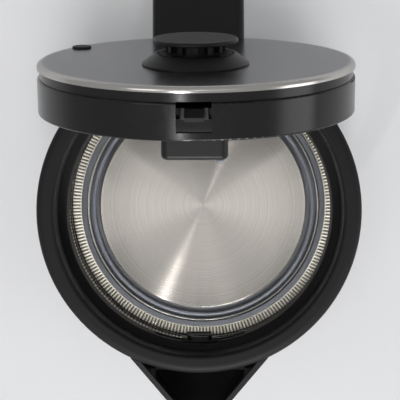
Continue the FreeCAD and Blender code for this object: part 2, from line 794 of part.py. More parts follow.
def collar_inner():
    """Inner tube of the collar with the lid's ledge, the glass seat and the two hinge ears."""
    flange_r = COLLAR_R - COLLAR_TAPER - COLLAR_WALL - FIT
    low, high = throat_levels()
    body = revolved([
        (MOUTH_R, low),
        (MOUTH_R + TUBE_FLARE, RIM_Z - TUBE_DIP),
        (TUBE_R, RIM_Z - TUBE_DIP),
        (TUBE_R, SEAT_FLANGE_Z),
        (flange_r, SEAT_FLANGE_Z),
        (flange_r, low),
        (TUBE_R, low),
        (TUBE_R, high),
        (flange_r, high),
        (flange_r, LEDGE_Z),
        (MOUTH_R, LEDGE_Z, COLLAR_WALL / 3),
    ])
    duct_half = THROAT_HALF - SPOUT_WALL
    body = body.cut(block(-duct_half, duct_half, -COLLAR_R, 0, low + SPOUT_WALL, high - SPOUT_WALL))
    ear_root = math.sqrt(LID_R ** 2 - KNUCKLE_OUT ** 2) + LID_GAP
    ear_x = KNUCKLE_OUT + MOVE
    ear = along_x([
        (ear_root, LEDGE_Z - FLANGE_T),
        (HINGE_Y - EAR_R / 2, LEDGE_Z - FLANGE_T),
        (HINGE_Y + EAR_R, HINGE_Z - EAR_R / 2),
        (HINGE_Y + EAR_R, HINGE_Z + EAR_R, EAR_R * 0.98),
        (HINGE_Y - EAR_R, HINGE_Z + EAR_R, EAR_R * 0.98),
        (HINGE_Y - EAR_R, HINGE_Z - EAR_R / 2),
    ], ear_x, ear_x + EAR_T)
    for piece in (ear, ear.mirror(V(), X_AXIS)):
        body = body.fuse(piece)
    bore = rod_x(PIN_R + RUNNING, -ear_x - EAR_T, ear_x + EAR_T, HINGE_Y, HINGE_Z)
    return body.cut(bore).removeSplitter()


def collar_section(hollow):
    corners = [
        (RECESS_R, LEDGE_Z + FIT),
        (RECESS_R, COLLAR_Z, COLLAR_LIP_ROUND),
        (COLLAR_R, COLLAR_Z, COLLAR_ROUND),
        (COLLAR_R - COLLAR_TAPER, RIM_Z - COLLAR_SKIRT),
        (COLLAR_R - COLLAR_TAPER - COLLAR_WALL, RIM_Z - COLLAR_SKIRT),
        (COLLAR_R - COLLAR_WALL, LEDGE_Z + FIT),
    ]
    if hollow:
        inside = RECESS_R + COLLAR_WALL * 0.8
        corners += [
            (COLLAR_R - COLLAR_WALL, COLLAR_Z - COLLAR_WALL),
            (inside, COLLAR_Z - COLLAR_WALL),
            (inside, LEDGE_Z + FIT),
        ]
    return corners


def collar_cover():
    """Outer ring of the collar, stepped down behind the lid and slotted for hinge and spout."""
    far = COLLAR_R + HINGE_OUT
    back = block(-far, far, COLLAR_R * SOLID_SHARE, far, LEDGE_Z + FIT, COLLAR_Z)
    cover = revolved(collar_section(True)).fuse(revolved(collar_section(False)).common(back))
    swing_r = LID_R * SWING_SHARE
    swing_y = COLLAR_R - COLLAR_WALL - swing_r
    cover = cover.cut(post(swing_r, LEDGE_Z - FIT, COLLAR_Z + 1, 0, swing_y))
    cover = cover.cut(block(-NOTCH_HALF, NOTCH_HALF, 0, far, COLLAR_Z - NOTCH_DROP, COLLAR_Z + 1))
    slot = KNUCKLE_OUT + MOVE + EAR_T + HINGE_SLOT_GAP
    cover = cover.cut(block(-slot, slot, 0, far, LEDGE_Z - FLANGE_T, COLLAR_Z + 1))
    low, high = throat_levels()
    half = THROAT_HALF + FIT
    return cover.cut(block(-half, half, -far, 0, low, high)).removeSplitter()


def bow(wall, z0, z1):
    """Plan of the spout: a wedge with a rounded tip, drawn in by a wall thickness."""
    half_angle = math.radians(SPOUT_HALF_ANGLE)
    tip = -(COLLAR_R + SPOUT_REACH)
    sharp = tip - SPOUT_TIP_ROUND * (1 / math.sin(half_angle) - 1)
    apex = sharp + wall / math.sin(half_angle)
    back = -COLLAR_R / 2
    half = (back - apex) * math.tan(half_angle)
    outline = rounded_face([(half, back), (-half, back), (0, apex, SPOUT_TIP_ROUND - wall)], level)
    return outline.extrude(Z_AXIS * (z1 - z0)).translate(Z_AXIS * z0)


def spout_floor(lift, z_top):
    """Side view of the spout, level at its throat and rising to the tip, raised by a floor thickness."""
    low = throat_levels()[0]
    edge = COLLAR_Z - SPOUT_BELOW
    tip = COLLAR_R + SPOUT_REACH
    wide = COLLAR_R
    return along_x([
        (-COLLAR_R / 2, low + lift),
        (-COLLAR_R - SPOUT_WALL, low + lift, SPOUT_REACH),
        (-tip - SPOUT_WALL, edge - SPOUT_TIP_H + lift),
        (-tip - SPOUT_WALL, z_top),
        (-COLLAR_R / 2, z_top),
    ], -wide, wide)


def spout():
    low, high = throat_levels()
    edge = COLLAR_Z - SPOUT_BELOW
    beak = bow(0.0, low - 1, edge + 1).common(spout_floor(0.0, edge))
    beak = beak.cut(bow(SPOUT_WALL, low - 1, edge + 2).common(spout_floor(SPOUT_WALL, edge + 2)))
    beak = beak.cut(post(COLLAR_R + FIT, low - 1, edge + 2))
    throat_out = COLLAR_R + SPOUT_WALL / 2
    throat = block(-THROAT_HALF, THROAT_HALF, -throat_out, 0, low + FIT, high - FIT)
    throat = throat.common(post(throat_out, low, high)).cut(post(TUBE_R + FIT, low, high))
    duct_half = THROAT_HALF - SPOUT_WALL
    duct = block(-duct_half, duct_half, -throat_out - 1, 0, low + SPOUT_WALL, high - SPOUT_WALL)
    return beak.fuse(throat).cut(duct).removeSplitter()


def spout_filter():
    """Flat strainer across the throat, one plate with a grid of square holes."""
    low, high = throat_levels()
    half = THROAT_HALF - SPOUT_WALL - FIT
    y = -TUBE_R - COLLAR_WALL
    z0 = low + SPOUT_WALL + FIT
    z1 = high - SPOUT_WALL - FIT
    plate = block(-half, half, y - FILTER_T, y, z0, z1)
    middle = (z0 + z1) / 2
    holes = []
    for column in range(FILTER_COLUMNS):
        x = (column - (FILTER_COLUMNS - 1) / 2) * FILTER_PITCH
        for row in range(FILTER_ROWS):
            z = middle + (row - (FILTER_ROWS - 1) / 2) * FILTER_PITCH
            hole = FILTER_HOLE / 2
            holes.append(block(x - hole, x + hole, y - FILTER_T, y, z - hole, z + hole))
    return plate.cut(holes)


def lid_striker():
    """Plate on the collar's inner wall with a loop that leans in over the mouth."""
    plate_out = MOUTH_R - FIT
    plate_in = plate_out - STRIKER_PLATE_T
    plate_top = LEDGE_Z - COLLAR_WALL / 3
    plate = ring(plate_in, plate_out, plate_top - STRIKER_PLATE_H, plate_top)
    plate = plate.common(block(-STRIKER_PLATE_HALF, STRIKER_PLATE_HALF, -COLLAR_R, 0, 0, COLLAR_Z))
    bar_z = BOLT_TOP + MOVE
    root_z = plate_top - STRIKER_BAR
    loop = along_x([
        (-plate_out + FIT, root_z - STRIKER_BAR),
        (-plate_out + FIT, root_z),
        (-BAR_R - STRIKER_BAR, bar_z),
        (-BAR_R - STRIKER_BAR, bar_z + STRIKER_BAR, STRIKER_BAR / 3),
        (-BAR_R, bar_z + STRIKER_BAR, STRIKER_BAR / 3),
        (-BAR_R, bar_z),
        (-plate_in, root_z - STRIKER_BAR),
    ], -STRIKER_HALF, STRIKER_HALF)
    window = STRIKER_HALF - STRIKER_SIDE
    gap = block(-window, window, -COLLAR_R, 0, root_z, bar_z)
    return plate.fuse(loop.cut(gap)).removeSplitter()


def hinge_pin():
    reach = KNUCKLE_OUT + MOVE + EAR_T + FIT
    pin = rod_x(PIN_R, -reach, reach, HINGE_Y, HINGE_Z)
    heads = [
        rod_x(PIN_R + PIN_HEAD / 2, reach, reach + PIN_HEAD, HINGE_Y, HINGE_Z),
        rod_x(PIN_R + PIN_HEAD / 2, -reach - PIN_HEAD, -reach, HINGE_Y, HINGE_Z),
    ]
    return pin.fuse(heads).removeSplitter()


def hinge_spring():
    """Torsion spring round the pin: one leg on the ledge, the other under the open lid's edge."""
    turns = HINGE_COIL_TURNS + (180.0 - LID_OPEN) / 360.0
    spring = coil("hinge_spring", HINGE_WIRE_R, HINGE_COIL_R, HINGE_COIL_PITCH, turns, HINGE_LEG, HINGE_LEG)
    length = HINGE_COIL_PITCH * turns
    return spring.translate(V(-length / 2, HINGE_Y, HINGE_Z))


def lid_cap():
    cap = revolved([
        (0, LID_Z),
        (LID_R, LID_Z, CAP_ROUND),
        (LID_R, LID_Z - CAP_EDGE),
        (LID_R - CAP_T, LID_Z - CAP_EDGE),
        (LID_R - CAP_T, LID_Z - CAP_T, CAP_ROUND - CAP_T),
        (0, LID_Z - CAP_T),
    ])
    return opened(cut_lid_holes(cap, DECK_Z, LID_Z + 1))


def sleeve_radius():
    return KNOB_STEM_R + MOVE + KNOB_SLEEVE_T


def cut_lid_holes(piece, z0, z1):
    """Holes for the knob's sleeve and the vent plug's stem."""
    vent_x, vent_y = polar(VENT_CIRCLE, VENT_ANGLE)
    piece = piece.cut(post(sleeve_radius() + FIT, z0 - 1, z1, 0, KNOB_Y))
    return piece.cut(post(VENT_STEM_R + FIT, z0 - 1, z1, vent_x, vent_y))


def lid_body():
    """Black rim and deck of the lid, with its hinge knuckles and the latch's notch."""
    neck = LID_R - CAP_T - FIT
    rim_in = LID_R - LID_RIM_WALL
    rim_z = LID_Z - LID_RIM_H
    body = revolved([
        (0, LID_Z - CAP_T),
        (neck, LID_Z - CAP_T, CAP_ROUND),
        (neck, LID_Z - NECK_END),
        (LID_R, LID_Z - NECK_END, CAP_T),
        (LID_R, rim_z, CAP_T),
        (0, rim_z),
    ])
    for x0, x1 in ((KNUCKLE_IN, KNUCKLE_OUT), (-KNUCKLE_OUT, -KNUCKLE_IN)):
        web = block(x0, x1, rim_in - KNUCKLE_OUT, HINGE_Y, HINGE_Z - KNUCKLE_R, HINGE_Z + KNUCKLE_R)
        body = body.fuse([web, rod_x(KNUCKLE_R, x0, x1, HINGE_Y, HINGE_Z)])
    body = body.cut(post(rim_in, rim_z - 1, DECK_Z))
    body = body.cut(rod_x(PIN_R + RUNNING, -KNUCKLE_OUT, KNUCKLE_OUT, HINGE_Y, HINGE_Z))
    body = body.cut(block(-LATCH_NOTCH_HALF, LATCH_NOTCH_HALF, -LID_R - 1, -rim_in / 2,
                          LID_Z - LATCH_NOTCH_END, LID_Z - LATCH_NOTCH_TOP))
    for degrees in LID_SCREW_ANGLES:
        x, y = polar(LID_SCREW_CIRCLE, degrees)
        body = body.fuse(post(BOSS_R, LINER_Z, DECK_Z + DECK_T / 2, x, y))
        body = body.cut(post(SCREW_R + FIT, LINER_Z, LINER_Z + SCREW_LENGTH + PILOT_EXTRA, x, y))
    return opened(cut_lid_holes(body, DECK_Z, LID_Z).removeSplitter())


def lid_liner():
    """Inner plate of the lid, with the latch's rails and the spring's post."""
    radius = LID_R - LID_RIM_WALL - FIT
    under = LINER_Z - LINER_T
    liner = revolved([(0, under), (radius, under, LINER_T / 2), (radius, LINER_Z), (0, LINER_Z)])
    slot = LATCH_NOTCH_HALF + LID_GAP
    liner = liner.cut(block(-slot, slot, -LID_R, -LATCH_FRONT, under, LINER_Z))
    rail_in = BOLT_HALF + MOVE
    rail_front = -LATCH_FRONT + RAIL_T
    rail_back = KNOB_Y - KNOB_STOP_R - MOVE
    for x0, x1 in ((rail_in, rail_in + RAIL_T), (-rail_in - RAIL_T, -rail_in)):
        liner = liner.fuse(block(x0, x1, rail_front, rail_back, LINER_Z, LINER_Z + RAIL_H))
    stop_y = KNOB_Y + BOLT_TAIL + latch_spring_length() + 2 * FIT
    liner = liner.fuse(block(-BOLT_HALF, BOLT_HALF, stop_y, stop_y + RAIL_T, LINER_Z, BOLT_TOP))
    for degrees in LID_SCREW_ANGLES:
        x, y = polar(LID_SCREW_CIRCLE, degrees)
        liner = liner.cut(post(SCREW_R + FIT, under, LINER_Z, x, y))
        liner = liner.cut(post(SCREW_HEAD_R + FIT, under, under + SCREW_HEAD_H, x, y))
    return opened(liner.removeSplitter())


def lid_screws():
    head_z = LINER_Z - LINER_T + SCREW_HEAD_H
    places = [polar(LID_SCREW_CIRCLE, degrees) for degrees in LID_SCREW_ANGLES]
    return opened(Part.makeCompound([screw(x, y, head_z, SCREW_LENGTH) for x, y in places]))


def latch_housing():
    """Hollow block under the front of the lid, closed at the bottom, its corners rounded."""
    top = LINER_Z - LINER_T
    bottom = LID_Z - LATCH_BOTTOM
    front = -LATCH_FRONT
    back = front + LATCH_DEPTH

    def cup(inset, z0, z1):
        half = LATCH_HALF - inset
        outline = rounded_face([
            (half, front + inset, LATCH_ROUND - inset),
            (half, back - inset, LATCH_ROUND - inset),
            (-half, back - inset, LATCH_ROUND - inset),
            (-half, front + inset, LATCH_ROUND - inset),
        ], level)
        return outline.extrude(Z_AXIS * (z1 - z0)).translate(Z_AXIS * z0)

    outer = cup(0.0, bottom, top)
    lower_edges = [e for e in outer.Edges if abs(e.BoundBox.ZMax - bottom) < 1e-6]
    outer = outer.makeFillet(LATCH_WALL, lower_edges)
    return opened(outer.cut(cup(LATCH_WALL, bottom + LATCH_WALL, top + 1)))


def vent_plug():
    vent_x, vent_y = polar(VENT_CIRCLE, VENT_ANGLE)
    plug = revolved([
        (0, DECK_Z),
        (VENT_STEM_R, DECK_Z),
        (VENT_STEM_R, LID_Z),
        (VENT_R, LID_Z),
        (VENT_R, LID_Z + VENT_PROUD, VENT_PROUD * 0.6),
        (0, LID_Z + VENT_PROUD),
    ])
    return opened(plug.translate(V(vent_x, vent_y, 0)))


def knob_base():
    """Conical collar round the push knob, with the sleeve that guides its stem."""
    bore = KNOB_STEM_R + MOVE
    base = revolved([
        (bore, DECK_Z),
        (sleeve_radius(), DECK_Z),
        (sleeve_radius(), LID_Z),
        (KNOB_BASE_R, LID_Z),
        (KNOB_BASE_R, LID_Z + KNOB_BASE_EDGE),
        (KNOB_RIM_R, LID_Z + KNOB_BASE_H, KNOB_BASE_EDGE),
        (KNOB_RIM_R - KNOB_BASE_EDGE * 2, LID_Z + KNOB_BASE_H, KNOB_BASE_EDGE),
        (KNOB_WELL_R, LID_Z + KNOB_WELL_Z),
        (bore, LID_Z + KNOB_WELL_Z),
    ])
    return opened(base.translate(V(0, KNOB_Y, 0)))


def wedge_line():
    """Offset y - z of the sloping face that the knob's wedge and the bolt share."""
    return KNOB_Y - BOLT_HALF / 5 - BOLT_Z


def lid_button():
    """Push knob: dished disc on a ribbed neck, a stop ring under the deck and a wedge for the bolt."""
    top = LID_Z + KNOB_H
    under = top - KNOB_DISC_T
    stop_top = DECK_Z - MOVE
    stop_z = stop_top - KNOB_STOP_T
    knob = revolved([
        (0, top - KNOB_DISH),
        (KNOB_DISC_R * 0.6, top - KNOB_DISH, KNOB_DISC_R),
        (KNOB_DISC_R - KNOB_DISC_T * 0.7, top, KNOB_DISC_T * 0.3),
        (KNOB_DISC_R, top, KNOB_DISC_T * 0.5),
        (KNOB_DISC_R, under, KNOB_DISC_T * 0.3),
        (KNOB_STEM_R, under),
        (KNOB_STEM_R, stop_top),
        (KNOB_STOP_R, stop_top),
        (KNOB_STOP_R, stop_z),
        (0, stop_z),
    ])
    rib_z = LID_Z + KNOB_WELL_Z + KNOB_TRAVEL + MOVE
    rib = block(0, KNOB_STEM_R + KNOB_RIB_OUT, -KNOB_RIB_W / 2, KNOB_RIB_W / 2, rib_z, under)
    ribs = [rib.copy().rotate(V(), Z_AXIS, 360.0 * i / KNOB_RIBS) for i in range(KNOB_RIBS)]
    knob = knob.fuse(ribs).translate(V(0, KNOB_Y, 0))
    low = BOLT_Z + KNOB_TRAVEL
    slope = wedge_line() - MOVE
    wedge = along_x([
        (KNOB_Y - WEDGE_BACK, low),
        (low + slope, low),
        (stop_z + slope, stop_z),
        (KNOB_Y - WEDGE_BACK, stop_z),
    ], -WEDGE_HALF, WEDGE_HALF)
    return opened(knob.fuse(wedge).removeSplitter())


def latch_bolt():
    """Sliding bar: a nose in front, a window with a sloping face for the wedge, a tail for the spring."""
    tail = KNOB_Y + BOLT_TAIL
    bar = block(-BOLT_HALF, BOLT_HALF, -BOLT_FRONT, tail, BOLT_Z, BOLT_TOP)
    nose = along_x([
        (-BOLT_FRONT, BOLT_Z),
        (-NOSE_TIP, BOLT_Z),
        (-NOSE_TIP, BOLT_Z + BOLT_T / 3),
        (-BAR_R, BOLT_TOP),
        (-BOLT_FRONT, BOLT_TOP),
    ], -BOLT_NOSE_HALF, BOLT_NOSE_HALF)
    window_front = KNOB_Y - WEDGE_BACK - MOVE - KNOB_TRAVEL
    slope = wedge_line()
    window = along_x([
        (window_front, BOLT_Z - 1),
        (BOLT_Z - 1 + slope, BOLT_Z - 1),
        (BOLT_TOP + 1 + slope, BOLT_TOP + 1),
        (window_front, BOLT_TOP + 1),
    ], -BOLT_WINDOW_HALF, BOLT_WINDOW_HALF)
    return opened(bar.fuse(nose).cut(window).removeSplitter())


def latch_spring_length():
    return LATCH_COIL_PITCH * LATCH_COIL_TURNS + 2 * LATCH_WIRE_R


def latch_spring():
    """Compression spring between the bolt's tail and its post."""
    spring = coil("latch_spring", LATCH_WIRE_R, LATCH_COIL_R, LATCH_COIL_PITCH, LATCH_COIL_TURNS, 0, 0)
    spring = spring.rotate(V(), Z_AXIS, 90)
    start = KNOB_Y + BOLT_TAIL + FIT + LATCH_WIRE_R
    return opened(spring.translate(V(0, start, (BOLT_Z + BOLT_TOP) / 2)))


def back_edge_open():
    """How far back the lid's top edge stands when it is open."""
    turn = math.radians(LID_OPEN)
    return HINGE_Y - HINGE_OUT * math.cos(turn) + HINGE_DROP * math.sin(turn)


def scoop_radius():
    return back_edge_open() + HANDLE_SCOOP_GAP


def handle_side():
    """Side view of the handle: top arm, grip and foot arm as one band with rounded corners."""
    root = COLLAR_R * 0.9
    foot_out = HANDLE_OUT - HANDLE_LEAN
    palm_top = HANDLE_OUT - HANDLE_THICK
    palm_foot = foot_out - HANDLE_THICK
    return rounded_face([
        (root, HANDLE_TOP),
        (HANDLE_OUT, HANDLE_TOP - HANDLE_FALL, HANDLE_TOP_ROUND),
        (foot_out, HANDLE_FOOT, HANDLE_FOOT_ROUND),
        (root, HANDLE_FOOT),
        (root, HANDLE_FOOT + HANDLE_FOOT_H),
        (palm_foot, HANDLE_FOOT + HANDLE_FOOT_H, HANDLE_PALM_ROUND),
        (palm_top, HANDLE_TOP - HANDLE_FALL - HANDLE_ARM_H, HANDLE_PALM_ROUND),
        (root, HANDLE_TOP - HANDLE_ROOT_H),
    ], upright)


def handle_half(z):
    share = (z - HANDLE_FOOT) / (HANDLE_TOP - HANDLE_FOOT)
    return HANDLE_HALF_FOOT + (HANDLE_HALF_TOP - HANDLE_HALF_FOOT) * share


def handle_band(face, inset):
    """Band of the handle from its side view, its width tapering from top to foot."""
    far = HANDLE_OUT + HANDLE_THICK
    band = face.extrude(X_AXIS * 2 * far).translate(X_AXIS * -far)
    top = handle_half(HANDLE_TOP + HANDLE_EDGE) - inset
    foot = handle_half(HANDLE_FOOT - HANDLE_EDGE) - inset
    z0 = HANDLE_FOOT - HANDLE_EDGE
    z1 = HANDLE_TOP + HANDLE_EDGE
    width = rounded_face([(-foot, z0), (foot, z0), (top, z1), (-top, z1)], axial)
    return band.common(width.extrude(Y_AXIS * far))


def grip_zone(gap):
    """Space of the grip's inner cover, seen from the front."""
    z0 = HANDLE_FOOT + HANDLE_FOOT_H + GRIP_COVER_END - gap
    z1 = HANDLE_TOP - HANDLE_ROOT_H - GRIP_COVER_END + gap
    inset = HANDLE_EDGE + FIT - gap
    low = handle_half(z0) - inset
    high = handle_half(z1) - inset
    face = rounded_face([(-low, z0), (low, z0), (high, z1), (-high, z1)], axial)
    return face.extrude(Y_AXIS * (HANDLE_OUT - HANDLE_THICK / 2))


def grip_screw_levels():
    z0 = HANDLE_FOOT + HANDLE_FOOT_H + GRIP_COVER_END
    z1 = HANDLE_TOP - HANDLE_ROOT_H - GRIP_COVER_END
    return z0 + 2 * BOSS_R, z1 - 2 * BOSS_R


def palm_y(z):
    """Inner face of the grip at a height."""
    low = HANDLE_FOOT + HANDLE_FOOT_H
    high = HANDLE_TOP - HANDLE_FALL - HANDLE_ARM_H
    share = (z - low) / (high - low)
    return HANDLE_OUT - HANDLE_THICK - HANDLE_LEAN * (1 - share)


def grip_out(z):
    """Outer face of the grip at a height."""
    share = (z - HANDLE_FOOT) / (HANDLE_TOP - HANDLE_FALL - HANDLE_FOOT)
    return HANDLE_OUT - HANDLE_LEAN * (1 - share)


def handle_shell():
    face = handle_side()
    solid = handle_band(face, 0.0)
    edges = []
    for side in solid.Faces:
        if abs(side.normalAt(0, 0).x) > 0.9:
            edges += [e for e in side.Edges if e.CenterOfMass.y > COLLAR_R * 0.91]
    solid = solid.makeFillet(HANDLE_EDGE, edges)
    middle = (HANDLE_TOP + HANDLE_FOOT) / 2
    solid = solid.cut(post(COLLAR_R + FIT, middle, COLLAR_Z))
    solid = solid.cut(post(HOUSING_R + FIT, 0, middle))
    solid = solid.cut(post(scoop_radius(), LEDGE_Z, COLLAR_Z + 1))
    cavity = handle_band(face.makeOffset2D(-HANDLE_WALL), HANDLE_WALL)
    cavity = cavity.cut(post(scoop_radius() + HANDLE_WALL, middle, COLLAR_Z))
    cavity = cavity.cut(post(HOUSING_R + HANDLE_WALL, 0, middle))
    solid = solid.cut(cavity).cut(grip_zone(FIT))
    for z in grip_screw_levels():
        inner = palm_y(z) + GRIP_COVER_T + 2 * FIT
        length = grip_out(z) - HANDLE_WALL / 2 - inner
        boss = Part.makeCylinder(BOSS_R, length, V(0, inner, z), Y_AXIS)
        pilot = Part.makeCylinder(SCREW_R + FIT, SCREW_LENGTH + PILOT_EXTRA, V(0, inner, z), Y_AXIS)
        solid = solid.fuse(boss).cut(pilot)
    slot_half = SWITCH_HALF + SWITCH_SLOT_GAP
    lift = (SWITCH_IN + HANDLE_WALL) * math.sin(math.radians(SWITCH_SWING / 2))
    slot_h = lift + SWITCH_T / 2 + SWITCH_SLOT_GAP
    solid = solid.cut(block(-slot_half, slot_half, SWITCH_Y + SWITCH_IN / 2, HANDLE_OUT + HANDLE_THICK,
                            SWITCH_Z - slot_h, SWITCH_Z + slot_h))
    reach = handle_half(SWITCH_Z) - HANDLE_WALL + SWITCH_PIN_SINK
    return solid.cut(rod_x(SWITCH_PIN_R + FIT, -reach, reach, SWITCH_Y, SWITCH_Z)).removeSplitter()


def grip_cover():
    face = handle_side()
    band = handle_band(face, 0.0).cut(handle_band(face.makeOffset2D(-GRIP_COVER_T), 0.0))
    cover = band.common(grip_zone(0.0))
    for z in grip_screw_levels():
        y = palm_y(z)
        cover = cover.cut(Part.makeCylinder(SCREW_R + FIT, HANDLE_THICK / 2, V(0, y - 1, z), Y_AXIS))
        depth = SCREW_HEAD_H + SCREW_HEAD_R
        cover = cover.cut(Part.makeCylinder(SCREW_HEAD_R + FIT, depth, V(0, y - SCREW_HEAD_R, z), Y_AXIS))
    return cover


def grip_screws():
    screws = []
    for z in grip_screw_levels():
        body = screw(0, 0, SCREW_HEAD_H, SCREW_LENGTH)
        screws.append(body.rotate(V(), X_AXIS, -90).translate(V(0, palm_y(z), z)))
    return Part.makeCompound(screws)


def switch_lever():
    """Rocker at the handle's foot, resting in its upper, off position."""
    tip = SWITCH_IN + SWITCH_OUT
    half_t = SWITCH_T / 2
    paddle = along_x([
        (0, -half_t),
        (tip, -half_t, half_t * 0.9),
        (tip, half_t, half_t * 0.9),
        (0, half_t),
    ], -SWITCH_HALF, SWITCH_HALF)
    lever = paddle.fuse(rod_x(SWITCH_HUB_R, -SWITCH_HALF, SWITCH_HALF, 0, 0))
    lever = lever.cut(rod_x(SWITCH_PIN_R + RUNNING, -SWITCH_HALF, SWITCH_HALF, 0, 0)).removeSplitter()
    return lever.rotate(V(), X_AXIS, SWITCH_SWING / 2).translate(V(0, SWITCH_Y, SWITCH_Z))


def switch_pin():
    reach = handle_half(SWITCH_Z) - HANDLE_WALL + SWITCH_PIN_SINK - FIT
    return rod_x(SWITCH_PIN_R, -reach, reach, SWITCH_Y, SWITCH_Z)


PIECES = (
    base_shell, base_floor, base_screws, base_feet, base_connector, base_contacts, cord_gland,
    bottom_housing, bottom_cover, cover_screws, connector_socket, control_unit,
    heater_plate, plate_seal, seal_sleeve, jug_seal, fluted_ring, heat_spreader, heating_element,
    temperature_probe, probe_seal, glass_jug, rim_seal, collar_inner, collar_cover,
    spout, spout_filter, lid_striker, hinge_pin, hinge_spring,
    lid_cap, lid_body, lid_liner, lid_screws, latch_housing, vent_plug, knob_base,
    lid_button, latch_bolt, latch_spring,
    handle_shell, grip_cover, grip_screws, switch_lever, switch_pin,
)

os.makedirs("parts", exist_ok=True)
for piece in PIECES:
    shape = piece()
    if not shape.isValid():
        raise RuntimeError(piece.__name__ + " is not a valid shape")
    shape.exportStep("parts/" + piece.__name__ + ".step")
    print(piece.__name__, len(shape.Solids), "solid(s),", round(shape.Volume / 1000, 2), "cm3")
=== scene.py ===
import json
import math

import bpy
import numpy as np
from bpy.props import FloatProperty, FloatVectorProperty, IntProperty, PointerProperty
from mathutils import Matrix, Vector


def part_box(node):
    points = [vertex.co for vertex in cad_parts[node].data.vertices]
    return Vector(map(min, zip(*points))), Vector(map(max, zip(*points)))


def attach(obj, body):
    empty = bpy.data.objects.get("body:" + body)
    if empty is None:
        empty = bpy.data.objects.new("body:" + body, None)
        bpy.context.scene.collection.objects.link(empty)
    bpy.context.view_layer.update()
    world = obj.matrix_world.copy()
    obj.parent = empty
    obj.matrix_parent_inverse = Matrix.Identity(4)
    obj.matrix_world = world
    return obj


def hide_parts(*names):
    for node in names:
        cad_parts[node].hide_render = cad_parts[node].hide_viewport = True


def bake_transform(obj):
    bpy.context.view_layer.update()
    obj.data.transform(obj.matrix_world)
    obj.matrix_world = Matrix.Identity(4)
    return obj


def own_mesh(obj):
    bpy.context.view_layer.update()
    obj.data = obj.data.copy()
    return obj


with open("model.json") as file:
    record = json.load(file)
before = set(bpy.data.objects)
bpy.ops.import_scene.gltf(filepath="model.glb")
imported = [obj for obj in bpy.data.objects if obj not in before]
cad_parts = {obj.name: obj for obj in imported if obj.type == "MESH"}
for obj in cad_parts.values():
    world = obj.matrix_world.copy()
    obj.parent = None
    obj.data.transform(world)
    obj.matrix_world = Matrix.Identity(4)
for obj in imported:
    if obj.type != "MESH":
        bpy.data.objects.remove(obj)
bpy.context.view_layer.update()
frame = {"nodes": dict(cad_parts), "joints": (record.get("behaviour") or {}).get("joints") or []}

bl_info = {
    "name": "Glass kettle finishes",
    "version": (1, 0, 0),
    "blender": (4, 5, 0),
    "location": "View3D > Sidebar > Kettle",
    "description": "Finishes, fine pieces and studio for a glass kettle with an open lid",
    "category": "Object",
}

MM = 0.001
TURN_STEPS = 24
LEG_STEPS = 3
WIRE_SIDES = 10
RIB_STEPS = 8
SCREW_SIDES = 48
SCREW_RINGS = 12
SCREW_BODIES = {
    "base_screws": "power_base", "cover_screws": "kettle", "grip_screws": "kettle", "lid_screws": "lid"}

SKY_COLOUR = (0.86, 0.87, 0.88, 1.0)
SKY_STRENGTH = 0.4
LAMP_TARGET = (0.0, 0.0, 0.15)
HALF_SPACE = math.pi
# place in metres, width, length, power in watts, spread of the beam
LAMPS = {
    "key": ((0.15, -2.2, 1.5), 1.2, 1.2, 7.2, math.radians(56)),
    "front_strip": ((-0.345, -0.765, 2.0), 0.006, 0.3, 2.7, HALF_SPACE),
    "back_strip": ((0.082, 0.225, 2.0), 0.006, 0.12, 0.12, HALF_SPACE),
    "fill": ((1.6, -0.3, 0.58), 0.8, 0.8, 3.6, HALF_SPACE),
    "left": ((-1.1, -0.1, 1.9), 0.7, 0.7, 2.4, HALF_SPACE),
    "top": ((0.0, 0.05, 2.6), 2.4, 0.5, 2.0, HALF_SPACE),
}

IMAGE_PIXELS = 400.0
FOCAL_PIXELS = 1415.0
SHIFT_PIXELS = (-1.0, 1.0)
SENSOR_WIDTH = 36.0
CLIP_RANGE = (0.01, 20.0)
CAMERA_PLACE = (0.0097, 0.0120, 0.8682)
CAMERA_TURNS = {"X": -0.68, "Y": 0.755, "Z": -0.18}


